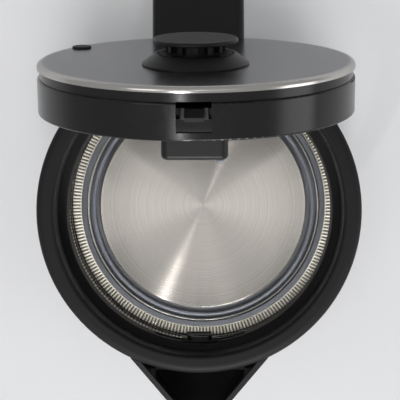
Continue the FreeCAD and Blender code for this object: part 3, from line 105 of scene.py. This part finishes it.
class Wire:
    """A shader socket in an expression: arithmetic adds Math nodes, and node() adds any other node."""

    MIX_FACTOR, MIX_LOW, MIX_HIGH, MIX_COLOUR = 0, 6, 7, 2

    def __init__(self, tree, socket=None):
        self.tree = tree
        self.socket = socket

    def node(self, kind, settings=None, links=None, out=0):
        """Adds one node: settings first, then the values or links of its sockets. Gives one output."""
        made = self.tree.nodes.new(kind)
        for key, value in (settings or {}).items():
            setattr(made, key, value)
        for key, value in (links or {}).items():
            if isinstance(value, Wire):
                self.tree.links.new(value.socket, made.inputs[key])
            else:
                made.inputs[key].default_value = value
        return Wire(self.tree, made.outputs[out])

    def math(self, operation, *values):
        return self.node("ShaderNodeMath", {"operation": operation}, dict(enumerate((self,) + values)))

    def __add__(self, other):
        return self.math("ADD", other)

    __radd__ = __add__

    def __sub__(self, other):
        return self.math("SUBTRACT", other)

    def __rsub__(self, other):
        return self.math("MULTIPLY", -1.0) + other

    def __mul__(self, other):
        return self.math("MULTIPLY", other)

    def __pow__(self, other):
        return self.math("POWER", other)

    def noise(self, scale, detail=3.0, roughness=0.5):
        """Fractal noise from 0 to 1 on this vector."""
        links = {"Vector": self, "Scale": scale, "Detail": detail, "Roughness": roughness}
        return self.node("ShaderNodeTexNoise", None, links)

    def part(self, name):
        return self.node("ShaderNodeSeparateXYZ", None, {"Vector": self}, name)

    def blend(self, low, high):
        """Colour between two fixed colours, by this value."""
        links = {self.MIX_FACTOR: self, self.MIX_LOW: (*low, 1.0), self.MIX_HIGH: (*high, 1.0)}
        return self.node("ShaderNodeMix", {"data_type": "RGBA"}, links, self.MIX_COLOUR)

    def step(self, low, high, bottom=0.0, top=1.0):
        """Smooth step of this value from one bound to another."""
        links = {"Value": self, "From Min": low, "From Max": high, "To Min": bottom, "To Max": top}
        return self.node("ShaderNodeMapRange", {"interpolation_type": "SMOOTHSTEP"}, links)

    def swing(self, reach):
        """This value's change about its middle, times a reach."""
        return (self - 0.5) * reach

    def bump(self, strength, distance):
        """Surface normal tilted by this height."""
        return self.node("ShaderNodeBump", None, {"Height": self, "Strength": strength, "Distance": distance})


def joint(name):
    return next(entry for entry in frame["joints"] if entry["name"] == name)


def lid_direction(vector):
    """A direction of the shut lid, turned to the open lid's."""
    turn = Matrix.Rotation(-math.radians(joint("lid_hinge")["range_deg"][1]), 3, "X")
    return tuple(turn @ Vector(vector))


def half_width(node):
    """Radius of a round node, from its box."""
    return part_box(node)[1][0]


def shaded(colour, share):
    return tuple(channel * share for channel in colour)


def shades(colour, dark, light):
    return shaded(colour, dark), shaded(colour, light)


def finish(name, constants, varying):
    """One Principled material: constants on its own sockets, varying(place) what changes over the surface."""
    material = bpy.data.materials.new(name)
    material.use_nodes = True
    tree = material.node_tree
    shader = tree.nodes["Principled BSDF"]
    for socket, value in constants.items():
        shader.inputs[socket].default_value = value
    place = Wire(tree).node("ShaderNodeTexCoord", out="Object")
    for socket, wire in varying(place).items():
        tree.links.new(wire.socket, shader.inputs[socket])
    return material


def dress(material, *nodes):
    """Gives CAD nodes a material in their own slots."""
    for name in nodes:
        piece = frame["nodes"][name]
        if not piece.material_slots:
            raise RuntimeError(name + " has no material slot")
        for slot in piece.material_slots:
            slot.material = material


def moulded(name, colour, rough, grain_scale, grain, sheen):
    """Moulded plastic: spark-eroded grain as bump, faint cloudy change of colour and roughness."""
    def varying(place):
        cloud = place.noise(scale=35.0, detail=4.0)
        grit = place.noise(scale=grain_scale, detail=2.0)
        return {
            "Base Color": (cloud * 0.6 + grit * 0.4).blend(*shades(colour, dark=0.82, light=1.2)),
            "Roughness": cloud.swing(0.12) + grit.swing(0.1) + rough,
            "Normal": grit.bump(strength=grain, distance=0.4 * MM),
        }
    return finish(name, {"Specular IOR Level": sheen}, varying)


def from_axis(place, centre, across, along):
    """Distance of a place from an axis through a centre, given two directions square to the axis."""
    nothing = 1e-9

    def reach(direction):
        along_axes = zip("XYZ", direction)
        parts = (place.part(name) * share for name, share in along_axes if abs(share) > nothing)
        return sum(parts) - Vector(centre).dot(Vector(direction))
    u = reach(across)
    v = reach(along)
    return (u * u + v * v) ** 0.5


def rings_of(radius, lines):
    """Noise that changes only with the radius, so many lines to the metre."""
    row = Wire(radius.tree).node("ShaderNodeCombineXYZ", None, {"X": radius * lines})
    return row.noise(scale=1.0, detail=2.0, roughness=0.6)


def turned(name, colour, rough, stretch, groove, top):
    """Turned or brushed metal: rings round the Z axis; what lies below its top face is dull and dark, with
    painted shade in its colour.
    """
    edge_drop, face_drop = 0.03 * MM, 0.003 * MM
    tone_depth, edge_dullness = 0.2, 0.3

    def varying(place):
        # Mask: 1 on the top face, 0 below it, where the rolled edge gets painted shade.
        face = place.part("Z").step(top - edge_drop, top - face_drop)
        radius = from_axis(place, (0, 0, 0), (1, 0, 0), (0, 1, 0))
        coarse = rings_of(radius, lines=900.0)
        fine = rings_of(radius, lines=2400.0)
        cloud = place.noise(scale=28.0, detail=3.0)
        marks = coarse.step(0.3, 0.7) * 0.6 + fine.step(0.3, 0.7) * 0.25 + cloud * 0.15
        tone = marks * tone_depth + (1.0 - tone_depth)
        return {
            # Colour: ring marks on the top face; below it, painted shade for the groove at the rolled edge.
            "Base Color": (tone * face).blend(*shades(colour, dark=0.1, light=1.08)),
            "Metallic": face,
            "Roughness": coarse.swing(0.08) + cloud.swing(0.04) + (1.0 - face) * edge_dullness + rough,
            "Normal": fine.bump(strength=1.0, distance=groove),
        }
    return finish(name, {"Anisotropic": stretch, "Anisotropic Rotation": 0.25}, varying)


def lid_polish(name, colour, edge_colour, band):
    """Dark polished lid top, its rolled edge bright: both set by the distance from the lid's own axis."""
    hinge = Vector(joint("lid_hinge")["pos_m"])
    centre = hinge + Vector(lid_direction(-hinge))
    rim = half_width("lid_cap")
    rough, edge_shine = 0.24, 0.03
    grazing_tint = (0.6, 0.6, 0.61, 1.0)

    def varying(place):
        radius = from_axis(place, centre, (1, 0, 0), lid_direction((0, 1, 0)))
        edge = radius.step(rim - band, rim - 0.4 * band)
        brushed = rings_of(radius, lines=1400.0)
        cloud = place.noise(scale=24.0, detail=3.0)
        tone = edge.blend(colour, edge_colour)
        worn = (brushed * 0.6 + cloud * 0.4).step(low=0.2, high=0.8, bottom=0.9, top=1.08)
        return {
            "Base Color": tone.node("ShaderNodeVectorMath", {"operation": "SCALE"}, {0: tone, "Scale": worn}),
            "Roughness": cloud.swing(0.05) + brushed.swing(0.04) + edge * -edge_shine + rough,
            "Normal": brushed.bump(strength=0.008, distance=0.2 * MM),
        }
    return finish(name, {"Metallic": 1.0, "Specular Tint": grazing_tint}, varying)


def drawn(name, colour, rough):
    """Plain metal with light scratches and clouding."""
    def varying(place):
        cloud = place.noise(scale=60.0, detail=4.0)
        scratch = place.noise(scale=900.0, detail=2.0)
        return {
            "Base Color": cloud.blend(*shades(colour, dark=0.85, light=1.08)),
            "Roughness": cloud.swing(0.14) + scratch.swing(0.12) + rough,
            "Normal": scratch.bump(strength=0.05, distance=0.2 * MM),
        }
    return finish(name, {"Metallic": 1.0}, varying)


def soft_rubber(name, colour, rough):
    """Silicone or rubber: dusty bloom and a very fine grain."""
    def varying(place):
        bloom = place.noise(scale=70.0, detail=4.0)
        grain = place.noise(scale=1600.0, detail=2.0)
        return {
            "Base Color": bloom.blend(*shades(colour, dark=0.85, light=1.15)),
            "Roughness": bloom.swing(0.15) + rough,
            "Normal": grain.bump(strength=0.06, distance=0.2 * MM),
        }
    return finish(name, {"Specular IOR Level": 0.35}, varying)


def mesh_piece(name, points, faces, material, node):
    """Object at the origin from an array of points in metres and a list of faces; stands for a CAD node."""
    mesh = bpy.data.meshes.new(name)
    mesh.from_pydata(points.reshape(-1, 3).tolist(), [], faces)
    mesh.polygons.foreach_set("use_smooth", np.ones(len(mesh.polygons), dtype=bool))
    mesh.materials.append(material)
    mesh.update()
    piece = bpy.data.objects.new(name, mesh)
    bpy.context.scene.collection.objects.link(piece)
    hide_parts(node)
    return piece


def helix(coil, pitch, turns):
    """Points of a helix about the X axis, its outward directions and its heading at the end."""
    angle = np.linspace(0.0, turns * math.tau, round(TURN_STEPS * turns) + 1)
    out = np.stack([np.zeros_like(angle), np.cos(angle), np.sin(angle)], axis=-1)
    points = out * coil + np.outer(angle * pitch / math.tau, [1.0, 0.0, 0.0])
    heading = np.array([pitch / math.tau, -coil * out[-1, 2], coil * out[-1, 1]])
    return points, out, heading / np.linalg.norm(heading)


def wire_tube(path, out, radius):
    """Capped tube along a path: rings of points about the heading, from the outward direction on."""
    rows, columns = len(path), WIRE_SIDES
    ahead = np.gradient(path, axis=0)
    side = np.cross(ahead, out)
    side /= np.linalg.norm(side, axis=1)[:, None]
    around = (np.arange(columns) * math.tau / columns)[None, :, None]
    ring = np.cos(around) * out[:, None, :] + np.sin(around) * side[:, None, :]
    points = path[:, None, :] + radius * ring
    row, column = np.meshgrid(np.arange(rows - 1), np.arange(columns), indexing="ij")
    beside = (column + 1) % columns
    quads = np.stack([row * columns + column, row * columns + beside,
                      (row + 1) * columns + beside, (row + 1) * columns + column], axis=-1).reshape(-1, 4)
    caps = [list(range(columns))[::-1], list(range((rows - 1) * columns, rows * columns))]
    return points, quads.tolist() + caps


def torus_faces(rows, columns):
    """Quads of a grid that closes both ways, rows by columns."""
    row, column = np.meshgrid(np.arange(rows), np.arange(columns), indexing="ij")
    after = (row + 1) % rows
    beside = (column + 1) % columns
    return np.stack([row * columns + column, row * columns + beside,
                     after * columns + beside, after * columns + column], axis=-1).reshape(-1, 4)


class KettleColours(bpy.types.PropertyGroup):
    """Colours of the finishes, in linear light."""
    satin: FloatVectorProperty(
        name="Satin black", description="Handle, housing and base", subtype="COLOR", size=3,
        default=(0.0115, 0.0112, 0.0115))
    matte: FloatVectorProperty(
        name="Matte black", description="Collar and inner mouldings", subtype="COLOR", size=3,
        default=(0.0108, 0.0102, 0.0102))
    gloss: FloatVectorProperty(
        name="Gloss black", description="Lid rim and spout", subtype="COLOR", size=3,
        default=(0.0068, 0.0066, 0.007))
    steel: FloatVectorProperty(
        name="Steel", description="Lid edge, sleeve and wire", subtype="COLOR", size=3,
        default=(0.66, 0.637, 0.605))
    plate: FloatVectorProperty(
        name="Plate", description="Brushed heater plate", subtype="COLOR", size=3,
        default=(0.662, 0.622, 0.572))
    lid: FloatVectorProperty(
        name="Lid top", description="Dark polished top of the lid", subtype="COLOR", size=3,
        default=(0.36, 0.36, 0.365))
    flutes: FloatVectorProperty(
        name="Fluted ring", description="Ribbed ring under the glass floor", subtype="COLOR", size=3,
        default=(0.88, 0.81, 0.715))
    silicone: FloatVectorProperty(
        name="Silicone", description="Seals", subtype="COLOR", size=3,
        default=(0.132, 0.138, 0.156))
    rubber: FloatVectorProperty(
        name="Rubber", description="Feet", subtype="COLOR", size=3,
        default=(0.02, 0.02, 0.02))
    brass: FloatVectorProperty(
        name="Brass", description="Contact rings", subtype="COLOR", size=3,
        default=(0.72, 0.54, 0.25))
    inner: FloatVectorProperty(
        name="Inner plastic", description="Thermostat block", subtype="COLOR", size=3,
        default=(0.62, 0.61, 0.56))
    glass: FloatVectorProperty(
        name="Glass", description="Tint of the jug", subtype="COLOR", size=3,
        default=(0.97, 0.975, 0.97))
    floor: FloatVectorProperty(
        name="Floor", description="Studio floor", subtype="COLOR", size=3,
        default=(0.80, 0.80, 0.81))


class KettleSizes(bpy.types.PropertyGroup):
    """Sizes of the pieces that are made here."""
    ribs: IntProperty(name="Ribs", description="Ribs of the fluted ring", default=240, min=24)
    rib_share: FloatProperty(
        name="Rib share", description="Rib width over pitch",
        default=0.74, min=0.2, max=0.9, subtype="FACTOR")
    rib_depth: FloatProperty(
        name="Rib depth", description="Depth of the gaps between ribs over the ring's height",
        default=0.92, min=0.0, max=1.0, subtype="FACTOR")
    ring_gap: FloatProperty(
        name="Ring gap", description="Gap between heater plate and fluted ring",
        default=0.15 * MM, unit="LENGTH")
    ring_land: FloatProperty(
        name="Ring land", description="Width of the plain land inside the ribs",
        default=0.7 * MM, unit="LENGTH")
    rib_start: FloatProperty(
        name="Rib start", description="Where the ribs begin, from the ring's bore",
        default=1.1 * MM, unit="LENGTH")
    rib_middle: FloatProperty(
        name="Rib middle", description="Row of points along the ribs, from the ring's bore",
        default=3.2 * MM, unit="LENGTH")
    rib_end: FloatProperty(
        name="Rib end", description="Where the ribs slope down, from the ring's rim",
        default=0.6 * MM, unit="LENGTH")
    lid_band: FloatProperty(
        name="Lid edge", description="Width of the lid's bright edge", default=3.2 * MM, unit="LENGTH")
    head_radius: FloatProperty(
        name="Head radius", description="Radius of the screws' heads", default=2.8 * MM, unit="LENGTH")
    head_height: FloatProperty(
        name="Head height", description="Height of the screws' heads", default=1.2 * MM, unit="LENGTH")
    head_dome: FloatProperty(
        name="Head dome", description="Rise of the screws' domed heads", default=0.35 * MM, unit="LENGTH")
    shank_radius: FloatProperty(
        name="Shank radius", description="Radius of the screws' shanks", default=1.5 * MM, unit="LENGTH")
    shank_length: FloatProperty(
        name="Shank length", description="Length of the screws' shanks", default=7.0 * MM, unit="LENGTH")
    shank_tip: FloatProperty(
        name="Shank tip", description="Length of the screws' tips", default=0.3 * MM, unit="LENGTH")
    slot_reach: FloatProperty(
        name="Cross reach", description="Half length of the cross recess over the head's radius",
        default=0.62, min=0.0, max=1.0, subtype="FACTOR")
    slot_width: FloatProperty(
        name="Cross width", description="Width of the screws' cross recess", default=0.7 * MM, unit="LENGTH")
    slot_depth: FloatProperty(
        name="Cross depth", description="Depth of the screws' cross recess", default=0.8 * MM, unit="LENGTH")
    hinge_wire: FloatProperty(
        name="Hinge wire", description="Radius of the hinge spring's wire", default=0.5 * MM, unit="LENGTH")
    hinge_coil: FloatProperty(
        name="Hinge coil", description="Radius of the hinge spring's coil", default=3.4 * MM, unit="LENGTH")
    hinge_pitch: FloatProperty(
        name="Hinge pitch", description="Rise of the hinge spring in a turn", default=1.6 * MM, unit="LENGTH")
    hinge_turns: IntProperty(
        name="Hinge turns", description="Whole turns of the hinge spring", default=5, min=1)
    hinge_leg: FloatProperty(
        name="Hinge leg", description="Length of the hinge spring's legs", default=4.6 * MM, unit="LENGTH")
    latch_wire: FloatProperty(
        name="Latch wire", description="Radius of the latch spring's wire", default=0.4 * MM, unit="LENGTH")
    latch_coil: FloatProperty(
        name="Latch coil", description="Radius of the latch spring's coil", default=1.8 * MM, unit="LENGTH")
    latch_pitch: FloatProperty(
        name="Latch pitch", description="Rise of the latch spring in a turn", default=1.7 * MM, unit="LENGTH")
    latch_turns: IntProperty(name="Latch turns", description="Turns of the latch spring", default=6, min=1)
    floor_half: FloatProperty(
        name="Floor", description="Half of the floor's side", default=2.5, unit="LENGTH")


class KETTLE_OT_black_pieces(bpy.types.Operator):
    """Black mouldings: satin grain on handle and base, matte collar, gloss lid rim and spout; lighter copies
    paint light on latch bolt and spout
    """
    bl_idname = "kettle.black_pieces"
    bl_label = "Black mouldings"

    def execute(self, context):
        colours = context.scene.kettle_colours
        satin = moulded("satin_black", colours.satin, rough=0.42, grain_scale=1500.0, grain=0.16, sheen=0.26)
        matte = moulded("matte_black", colours.matte, rough=0.58, grain_scale=1900.0, grain=0.22, sheen=0.25)
        gloss = moulded("gloss_black", colours.gloss, rough=0.23, grain_scale=500.0, grain=0.015, sheen=0.4)
        # Lighter copy of the satin black: painted light on the latch bolt in its shaded window.
        bolt = moulded("bolt_black", shaded(colours.satin, 2.6),
                       rough=0.35, grain_scale=900.0, grain=0.05, sheen=0.5)
        # Lighter copy of the gloss black: painted light in the spout's shaded channel.
        spout = moulded("spout_black", shaded(colours.gloss, 3.2),
                        rough=0.2, grain_scale=500.0, grain=0.015, sheen=0.5)
        dress(satin, "base_shell", "bottom_housing", "handle_shell", "lid_liner", "latch_housing",
              "knob_base", "lid_button", "lid_striker")
        dress(matte, "base_floor", "base_connector", "cord_gland", "bottom_cover", "connector_socket",
              "collar_inner", "collar_cover", "spout_filter", "vent_plug", "grip_cover")
        dress(gloss, "lid_body", "switch_lever")
        dress(bolt, "latch_bolt")
        dress(spout, "spout")
        return {"FINISHED"}


class KETTLE_OT_steel_pieces(bpy.types.Operator):
    """Metal: brushed heater plate, polished lid cap, turned sleeve, drawn wire, aluminium and brass"""
    bl_idname = "kettle.steel_pieces"
    bl_label = "Steel pieces"

    def execute(self, context):
        colours = context.scene.kettle_colours
        sizes = context.scene.kettle_sizes
        plate_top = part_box("heater_plate")[1][2]
        plate = turned("brushed_plate", colours.plate,
                       rough=0.147, stretch=1.0, groove=0.0003 * MM, top=plate_top)
        sleeve = turned("sleeve_steel", shaded(colours.steel, 0.8),
                        rough=0.22, stretch=0.0, groove=0.005 * MM, top=0.0)
        dress(plate, "heater_plate")
        dress(sleeve, "seal_sleeve")
        dress(lid_polish("lid_steel", colours.lid, colours.steel, sizes.lid_band), "lid_cap")
        dress(drawn("wire_steel", shaded(colours.steel, 0.8), rough=0.3), "hinge_pin", "switch_pin",
              "heating_element", "temperature_probe")
        dress(drawn("cast_aluminium", shaded(colours.steel, 1.05), rough=0.45), "heat_spreader")
        dress(drawn("contact_brass", colours.brass, rough=0.28), "base_contacts")
        return {"FINISHED"}


class KETTLE_OT_soft_pieces(bpy.types.Operator):
    """Silicone seals, rubber feet and the pale thermostat block"""
    bl_idname = "kettle.soft_pieces"
    bl_label = "Seals and feet"

    def execute(self, context):
        colours = context.scene.kettle_colours
        # Darker copy of the seal silicone: painted shade on the jug and rim seals.
        dark = shaded(colours.silicone, 0.62)
        pale = moulded("pale_plastic", colours.inner, rough=0.5, grain_scale=900.0, grain=0.1, sheen=0.5)
        dress(soft_rubber("grey_silicone", colours.silicone, rough=0.5), "plate_seal", "probe_seal")
        dress(soft_rubber("dark_silicone", dark, rough=0.55), "jug_seal", "rim_seal")
        dress(soft_rubber("foot_rubber", colours.rubber, rough=0.7), "base_feet")
        dress(pale, "control_unit")
        return {"FINISHED"}


class KETTLE_OT_glass(bpy.types.Operator):
    """Clear glass of the jug, with a faint waviness; light passes through it to what stands behind"""
    bl_idname = "kettle.glass"
    bl_label = "Glass jug"

    def execute(self, context):
        colours = context.scene.kettle_colours

        def varying(place):
            wave = place.noise(scale=18.0, detail=2.0)
            return {
                "Roughness": wave * 0.02 + 0.005,
                "Normal": wave.bump(strength=0.03, distance=2.0 * MM),
            }
        clear_glass = {"Transmission Weight": 1.0, "IOR": 1.47, "Base Color": (*colours.glass, 1.0)}
        glass = finish("jug_glass", clear_glass, varying)
        tree = glass.node_tree
        start = Wire(tree)
        shadow = start.node("ShaderNodeLightPath", out="Is Shadow Ray")
        clear = start.node("ShaderNodeBsdfTransparent", None, {"Color": (*colours.glass, 1.0)})
        shader = Wire(tree, tree.nodes["Principled BSDF"].outputs[0])
        mixed = start.node("ShaderNodeMixShader", None, {0: shadow, 1: shader, 2: clear})
        tree.links.new(mixed.socket, tree.nodes["Material Output"].inputs["Surface"])
        dress(glass, "glass_jug")
        return {"FINISHED"}


class KETTLE_OT_fluted_ring(bpy.types.Operator):
    """Fluted ring: a flat ring whose top rises in round-crowned radial ribs

    On a grid of angle by section, the section is a closed loop of radius and height. Its top points
    rise and fall with the angle: a rib where the wave's phase is inside the rib's share of the pitch.
    """
    bl_idname = "kettle.fluted_ring"
    bl_label = "Fluted ring"

    def execute(self, context):
        sizes = context.scene.kettle_sizes
        colours = context.scene.kettle_colours
        (_, _, floor), (outer, _, top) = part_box("fluted_ring")
        inner = half_width("heater_plate") + sizes.ring_gap
        steps = sizes.ribs * RIB_STEPS
        angle = (np.arange(steps) * math.tau / steps)[:, None]
        phase = (np.arange(steps) % RIB_STEPS + 0.5) / RIB_STEPS - 0.5
        inside = np.clip(1.0 - (np.abs(phase) / (sizes.rib_share / 2)) ** 4, 0.0, 1.0)[:, None]
        radius = np.array([inner, inner, inner + sizes.ring_land, inner + sizes.rib_start,
                           inner + sizes.rib_middle, outer - sizes.rib_end, outer, outer])
        crown = np.array([0.0, 1.0, 1.0, 1.0, 1.0, 1.0, 0.75, 0.0])
        ribbed = np.array([0.0, 0.0, 0.0, 1.0, 1.0, 1.0, 1.0, 0.0])
        lift = crown * (1.0 - ribbed * (1.0 - inside) * sizes.rib_depth)
        height = floor + (top - floor) * lift
        points = np.stack([np.cos(angle) * radius, np.sin(angle) * radius, height], axis=-1)
        faces = torus_faces(steps, len(radius)).tolist()
        steel = self.steel(colours.flutes, floor, top)
        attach(mesh_piece("fluted_ring_ribs", points, faces, steel, "fluted_ring"), "kettle")
        return {"FINISHED"}

    def steel(self, colour, floor, top):
        """Pale steel on the crowns; painted shade darkens the gaps between the ribs."""
        def varying(place):
            height_for_gap_shade = place.part("Z").step(floor, top)
            cloud = place.noise(scale=90.0, detail=3.0)
            return {
                # Darker colour low in the gaps is painted shade between the ribs.
                "Base Color": (height_for_gap_shade * 0.85 + cloud * 0.15).blend(*shades(colour, dark=0.16, light=1.0)),
                "Roughness": cloud.swing(0.15) + 0.4,
            }
        return finish("fluted_steel", {"Metallic": 0.3}, varying)


def screw_places(node, head_height):
    """Seats of a group's heads and the way they face, from the loose islands of the CAD node's mesh."""
    apart = 7 * MM
    mesh = frame["nodes"][node].data
    points = np.empty(len(mesh.vertices) * 3)
    mesh.vertices.foreach_get("co", points)
    points = points.reshape(-1, 3)
    headings = {"base_screws": (0, 0, -1), "cover_screws": (0, 0, -1), "grip_screws": (0, -1, 0),
                "lid_screws": lid_direction((0, 0, -1))}
    out = np.array(headings[node], dtype=float)
    along = points @ out
    side = points - np.outer(along, out)
    centres = []
    left = np.ones(len(points), dtype=bool)
    while left.any():
        seed = side[np.argmax(left)]
        near = left & (np.linalg.norm(side - seed, axis=1) < apart)
        centre = (side[near].min(axis=0) + side[near].max(axis=0)) / 2
        centres.append(centre + out * (along[near].max() - head_height))
        left &= ~near
    return centres, out


class KETTLE_OT_screw_heads(bpy.types.Operator):
    """Screws: a round pan head with a cross recess, turned from a polar grid, on a plain shank

    Height over radius is a low dome; inside the cross, where the smaller of |x| and |y| is under half
    the cross's width, the surface drops by the recess's depth. The rim, shank and tip close the form.
    """
    bl_idname = "kettle.screw_heads"
    bl_label = "Screws"

    def execute(self, context):
        sizes = context.scene.kettle_sizes
        colours = context.scene.kettle_colours
        steel = drawn("screw_steel", shaded(colours.steel, 0.75), rough=0.28)
        local, quads, caps = self.screw(sizes)
        for node, body in SCREW_BODIES.items():
            centres, out = screw_places(node, sizes.head_height)
            side = np.cross([1.0, 0.0, 0.0], out)
            side /= np.linalg.norm(side)
            turn = np.stack([side, np.cross(out, side), out])
            points = np.concatenate([local @ turn + centre for centre in centres])
            firsts = np.arange(len(centres)) * len(local)
            faces = [face for first in firsts for part in (quads, caps) for face in (part + first).tolist()]
            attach(mesh_piece(node + "_cross", points, faces, steel, node), body)
        return {"FINISHED"}

    def screw(self, sizes):
        """Points of one screw along Z, its quads, and the two caps at crown and tip."""
        core = 0.02
        angle = (np.arange(SCREW_SIDES) * math.tau / SCREW_SIDES)[:, None]
        share = np.linspace(core, 1.0, SCREW_RINGS)
        head, shank, length = sizes.head_radius, sizes.shank_radius, sizes.shank_length
        radius = np.concatenate([share * head, [head, shank, shank, core * shank]])
        dome = sizes.head_height - sizes.head_dome * share ** 2
        height = np.concatenate([dome, [0.0, 0.0, -length, -length - sizes.shank_tip]])
        x = radius * np.cos(angle)
        y = radius * np.sin(angle)
        narrow = np.minimum(np.abs(x), np.abs(y))
        reach = np.maximum(np.abs(x), np.abs(y))
        cross = (narrow < sizes.slot_width / 2) & (reach < head * sizes.slot_reach)
        cross[:, SCREW_RINGS:] = False
        z = height - np.where(cross, sizes.slot_depth * (1.0 - reach / head), 0.0)
        rings = len(radius)
        row, column = np.meshgrid(np.arange(SCREW_SIDES), np.arange(rings - 1), indexing="ij")
        after = (row + 1) % SCREW_SIDES
        quads = np.stack([row * rings + column, row * rings + column + 1,
                          after * rings + column + 1, after * rings + column], axis=-1).reshape(-1, 4)
        crown = np.arange(SCREW_SIDES) * rings
        caps = np.stack([crown, crown[::-1] + rings - 1])
        return np.stack([x, y, z], axis=-1).reshape(-1, 3), quads, caps


class KETTLE_OT_springs(bpy.types.Operator):
    """Springs: round wire along a helix about the pin, and about the bolt's line

    A point of the helix lies at the coil's radius, turned by an angle and moved along the axis by the
    pitch in each turn. The torsion spring's legs stand apart as the open lid holds them; the latch's
    spring lies along the bolt's line at its free length.
    """
    bl_idname = "kettle.springs"
    bl_label = "Springs"

    def execute(self, context):
        sizes = context.scene.kettle_sizes
        steel = drawn("spring_wire", shaded(context.scene.kettle_colours.steel, 0.8), rough=0.3)
        self.torsion(sizes, steel)
        self.compression(sizes, steel)
        return {"FINISHED"}

    def torsion(self, sizes, steel):
        hinge = joint("lid_hinge")
        legs_apart = 180.0 - hinge["range_deg"][1]
        turns = sizes.hinge_turns + legs_apart / 360.0
        points, out, heading = helix(sizes.hinge_coil, sizes.hinge_pitch, turns)
        along = np.arange(1, LEG_STEPS + 1) / LEG_STEPS * sizes.hinge_leg
        first = points[0] - np.outer(along[::-1], [0.0, 0.0, 1.0])
        last = points[-1] + np.outer(along, heading)
        length = sizes.hinge_pitch * turns
        start = np.array(hinge["pos_m"]) - [length / 2, 0.0, 0.0]
        path = np.concatenate([first, points, last]) + start
        outward = np.pad(out, ((LEG_STEPS, LEG_STEPS), (0, 0)), mode="edge")
        tube, faces = wire_tube(path, outward, sizes.hinge_wire)
        piece = mesh_piece("hinge_spring_coil", tube, faces, steel, "hinge_spring")
        tuple(start + [length, 0.0, 0.0])
        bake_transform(piece)

    def compression(self, sizes, steel):
        slide = joint("latch_slide")
        length = sizes.latch_pitch * sizes.latch_turns
        points, out, _ = helix(sizes.latch_coil, sizes.latch_pitch, sizes.latch_turns)
        axes = np.array([lid_direction((0, 1, 0)), lid_direction((-1, 0, 0)), lid_direction((0, 0, 1))])
        middle = np.mean(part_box("latch_spring"), axis=0)
        path = (points - [length / 2, 0.0, 0.0]) @ axes + middle
        tube, faces = wire_tube(path, out @ axes, sizes.latch_wire)
        piece = mesh_piece("latch_spring_coil", tube, faces, steel, "latch_spring")
        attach(piece, "lid")
        full = length + 2 * sizes.latch_wire
        1.0 - slide["range_m"][1] / full
        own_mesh(piece)


class KETTLE_OT_stage(bpy.types.Operator):
    """Pale floor, soft studio lamps, world and the camera over the open kettle"""
    bl_idname = "kettle.stage"
    bl_label = "Stage"

    def execute(self, context):
        self.floor(context.scene.kettle_sizes.floor_half, context.scene.kettle_colours.floor)
        self.world(context)
        for name, lamp in LAMPS.items():
            self.lamp(name, *lamp)
        self.camera(context)
        context.scene.view_settings.view_transform = "Standard"
        return {"FINISHED"}

    def floor(self, half, colour):
        below = 0.2 * MM
        corners = [(-half, -half, -below), (half, -half, -below), (half, half, -below), (-half, half, -below)]
        mesh = bpy.data.meshes.new("floor")
        mesh.from_pydata(corners, [], [(0, 1, 2, 3)])

        def varying(place):
            cloud = place.noise(scale=3.0, detail=2.0)
            return {"Base Color": cloud.blend(*shades(colour, dark=0.985, light=1.01))}
        mesh.materials.append(finish("pale_floor", {"Roughness": 0.8, "Specular IOR Level": 0.2}, varying))
        floor = bpy.data.objects.new("floor", mesh)
        bpy.context.scene.collection.objects.link(floor)

    def world(self, context):
        world = bpy.data.worlds.new("studio")
        world.use_nodes = True
        sky = world.node_tree.nodes["Background"]
        sky.inputs["Color"].default_value = SKY_COLOUR
        sky.inputs["Strength"].default_value = SKY_STRENGTH
        context.scene.world = world

    def lamp(self, name, place, width, length, power, spread):
        """Area lamp that looks at the kettle, its length lying in the upright plane through the kettle."""
        light = bpy.data.lights.new(name, "AREA")
        light.shape = "RECTANGLE"
        light.size = width
        light.size_y = length
        light.energy = power
        light.spread = spread
        lamp = bpy.data.objects.new(name, light)
        lamp.location = place
        lamp.rotation_euler = (Vector(LAMP_TARGET) - Vector(place)).to_track_quat("-Z", "Y").to_euler()
        bpy.context.scene.collection.objects.link(lamp)

    def camera(self, context):
        """Camera that looks down into the jug: turned about the upright, then leaned and tilted."""
        lens = bpy.data.cameras.new("camera")
        lens.sensor_width = SENSOR_WIDTH
        lens.lens = SENSOR_WIDTH * FOCAL_PIXELS / IMAGE_PIXELS
        lens.shift_x, lens.shift_y = (pixels / IMAGE_PIXELS for pixels in SHIFT_PIXELS)
        lens.clip_start, lens.clip_end = CLIP_RANGE
        camera = bpy.data.objects.new("camera", lens)
        tilt, lean, roll = (
            Matrix.Rotation(math.radians(angle), 4, axis) for axis, angle in CAMERA_TURNS.items())
        camera.matrix_world = Matrix.Translation(CAMERA_PLACE) @ roll @ lean @ tilt
        context.scene.collection.objects.link(camera)
        context.scene.camera = camera


class KETTLE_PT_panel(bpy.types.Panel):
    """Lists the kettle's operators and properties"""
    bl_label = "Kettle"
    bl_idname = "KETTLE_PT_panel"
    bl_space_type = "VIEW_3D"
    bl_region_type = "UI"
    bl_category = "Kettle"

    def draw(self, context):
        for operator in OPERATORS:
            self.layout.operator(operator.bl_idname)
        for group in (context.scene.kettle_sizes, context.scene.kettle_colours):
            for key in group.__annotations__:
                self.layout.prop(group, key)


OPERATORS = (
    KETTLE_OT_black_pieces, KETTLE_OT_steel_pieces, KETTLE_OT_soft_pieces, KETTLE_OT_glass,
    KETTLE_OT_fluted_ring, KETTLE_OT_screw_heads, KETTLE_OT_springs, KETTLE_OT_stage,
)
CLASSES = (KettleColours, KettleSizes, *OPERATORS, KETTLE_PT_panel)


def register():
    for cls in CLASSES:
        bpy.utils.register_class(cls)
    bpy.types.Scene.kettle_colours = PointerProperty(type=KettleColours)
    bpy.types.Scene.kettle_sizes = PointerProperty(type=KettleSizes)


def unregister():
    del bpy.types.Scene.kettle_sizes
    del bpy.types.Scene.kettle_colours
    for cls in reversed(CLASSES):
        bpy.utils.unregister_class(cls)


def main():
    register()
    for operator in OPERATORS:
        group, name = operator.bl_idname.split(".")
        getattr(getattr(bpy.ops, group), name)()


if __name__ == "__main__":
    main()
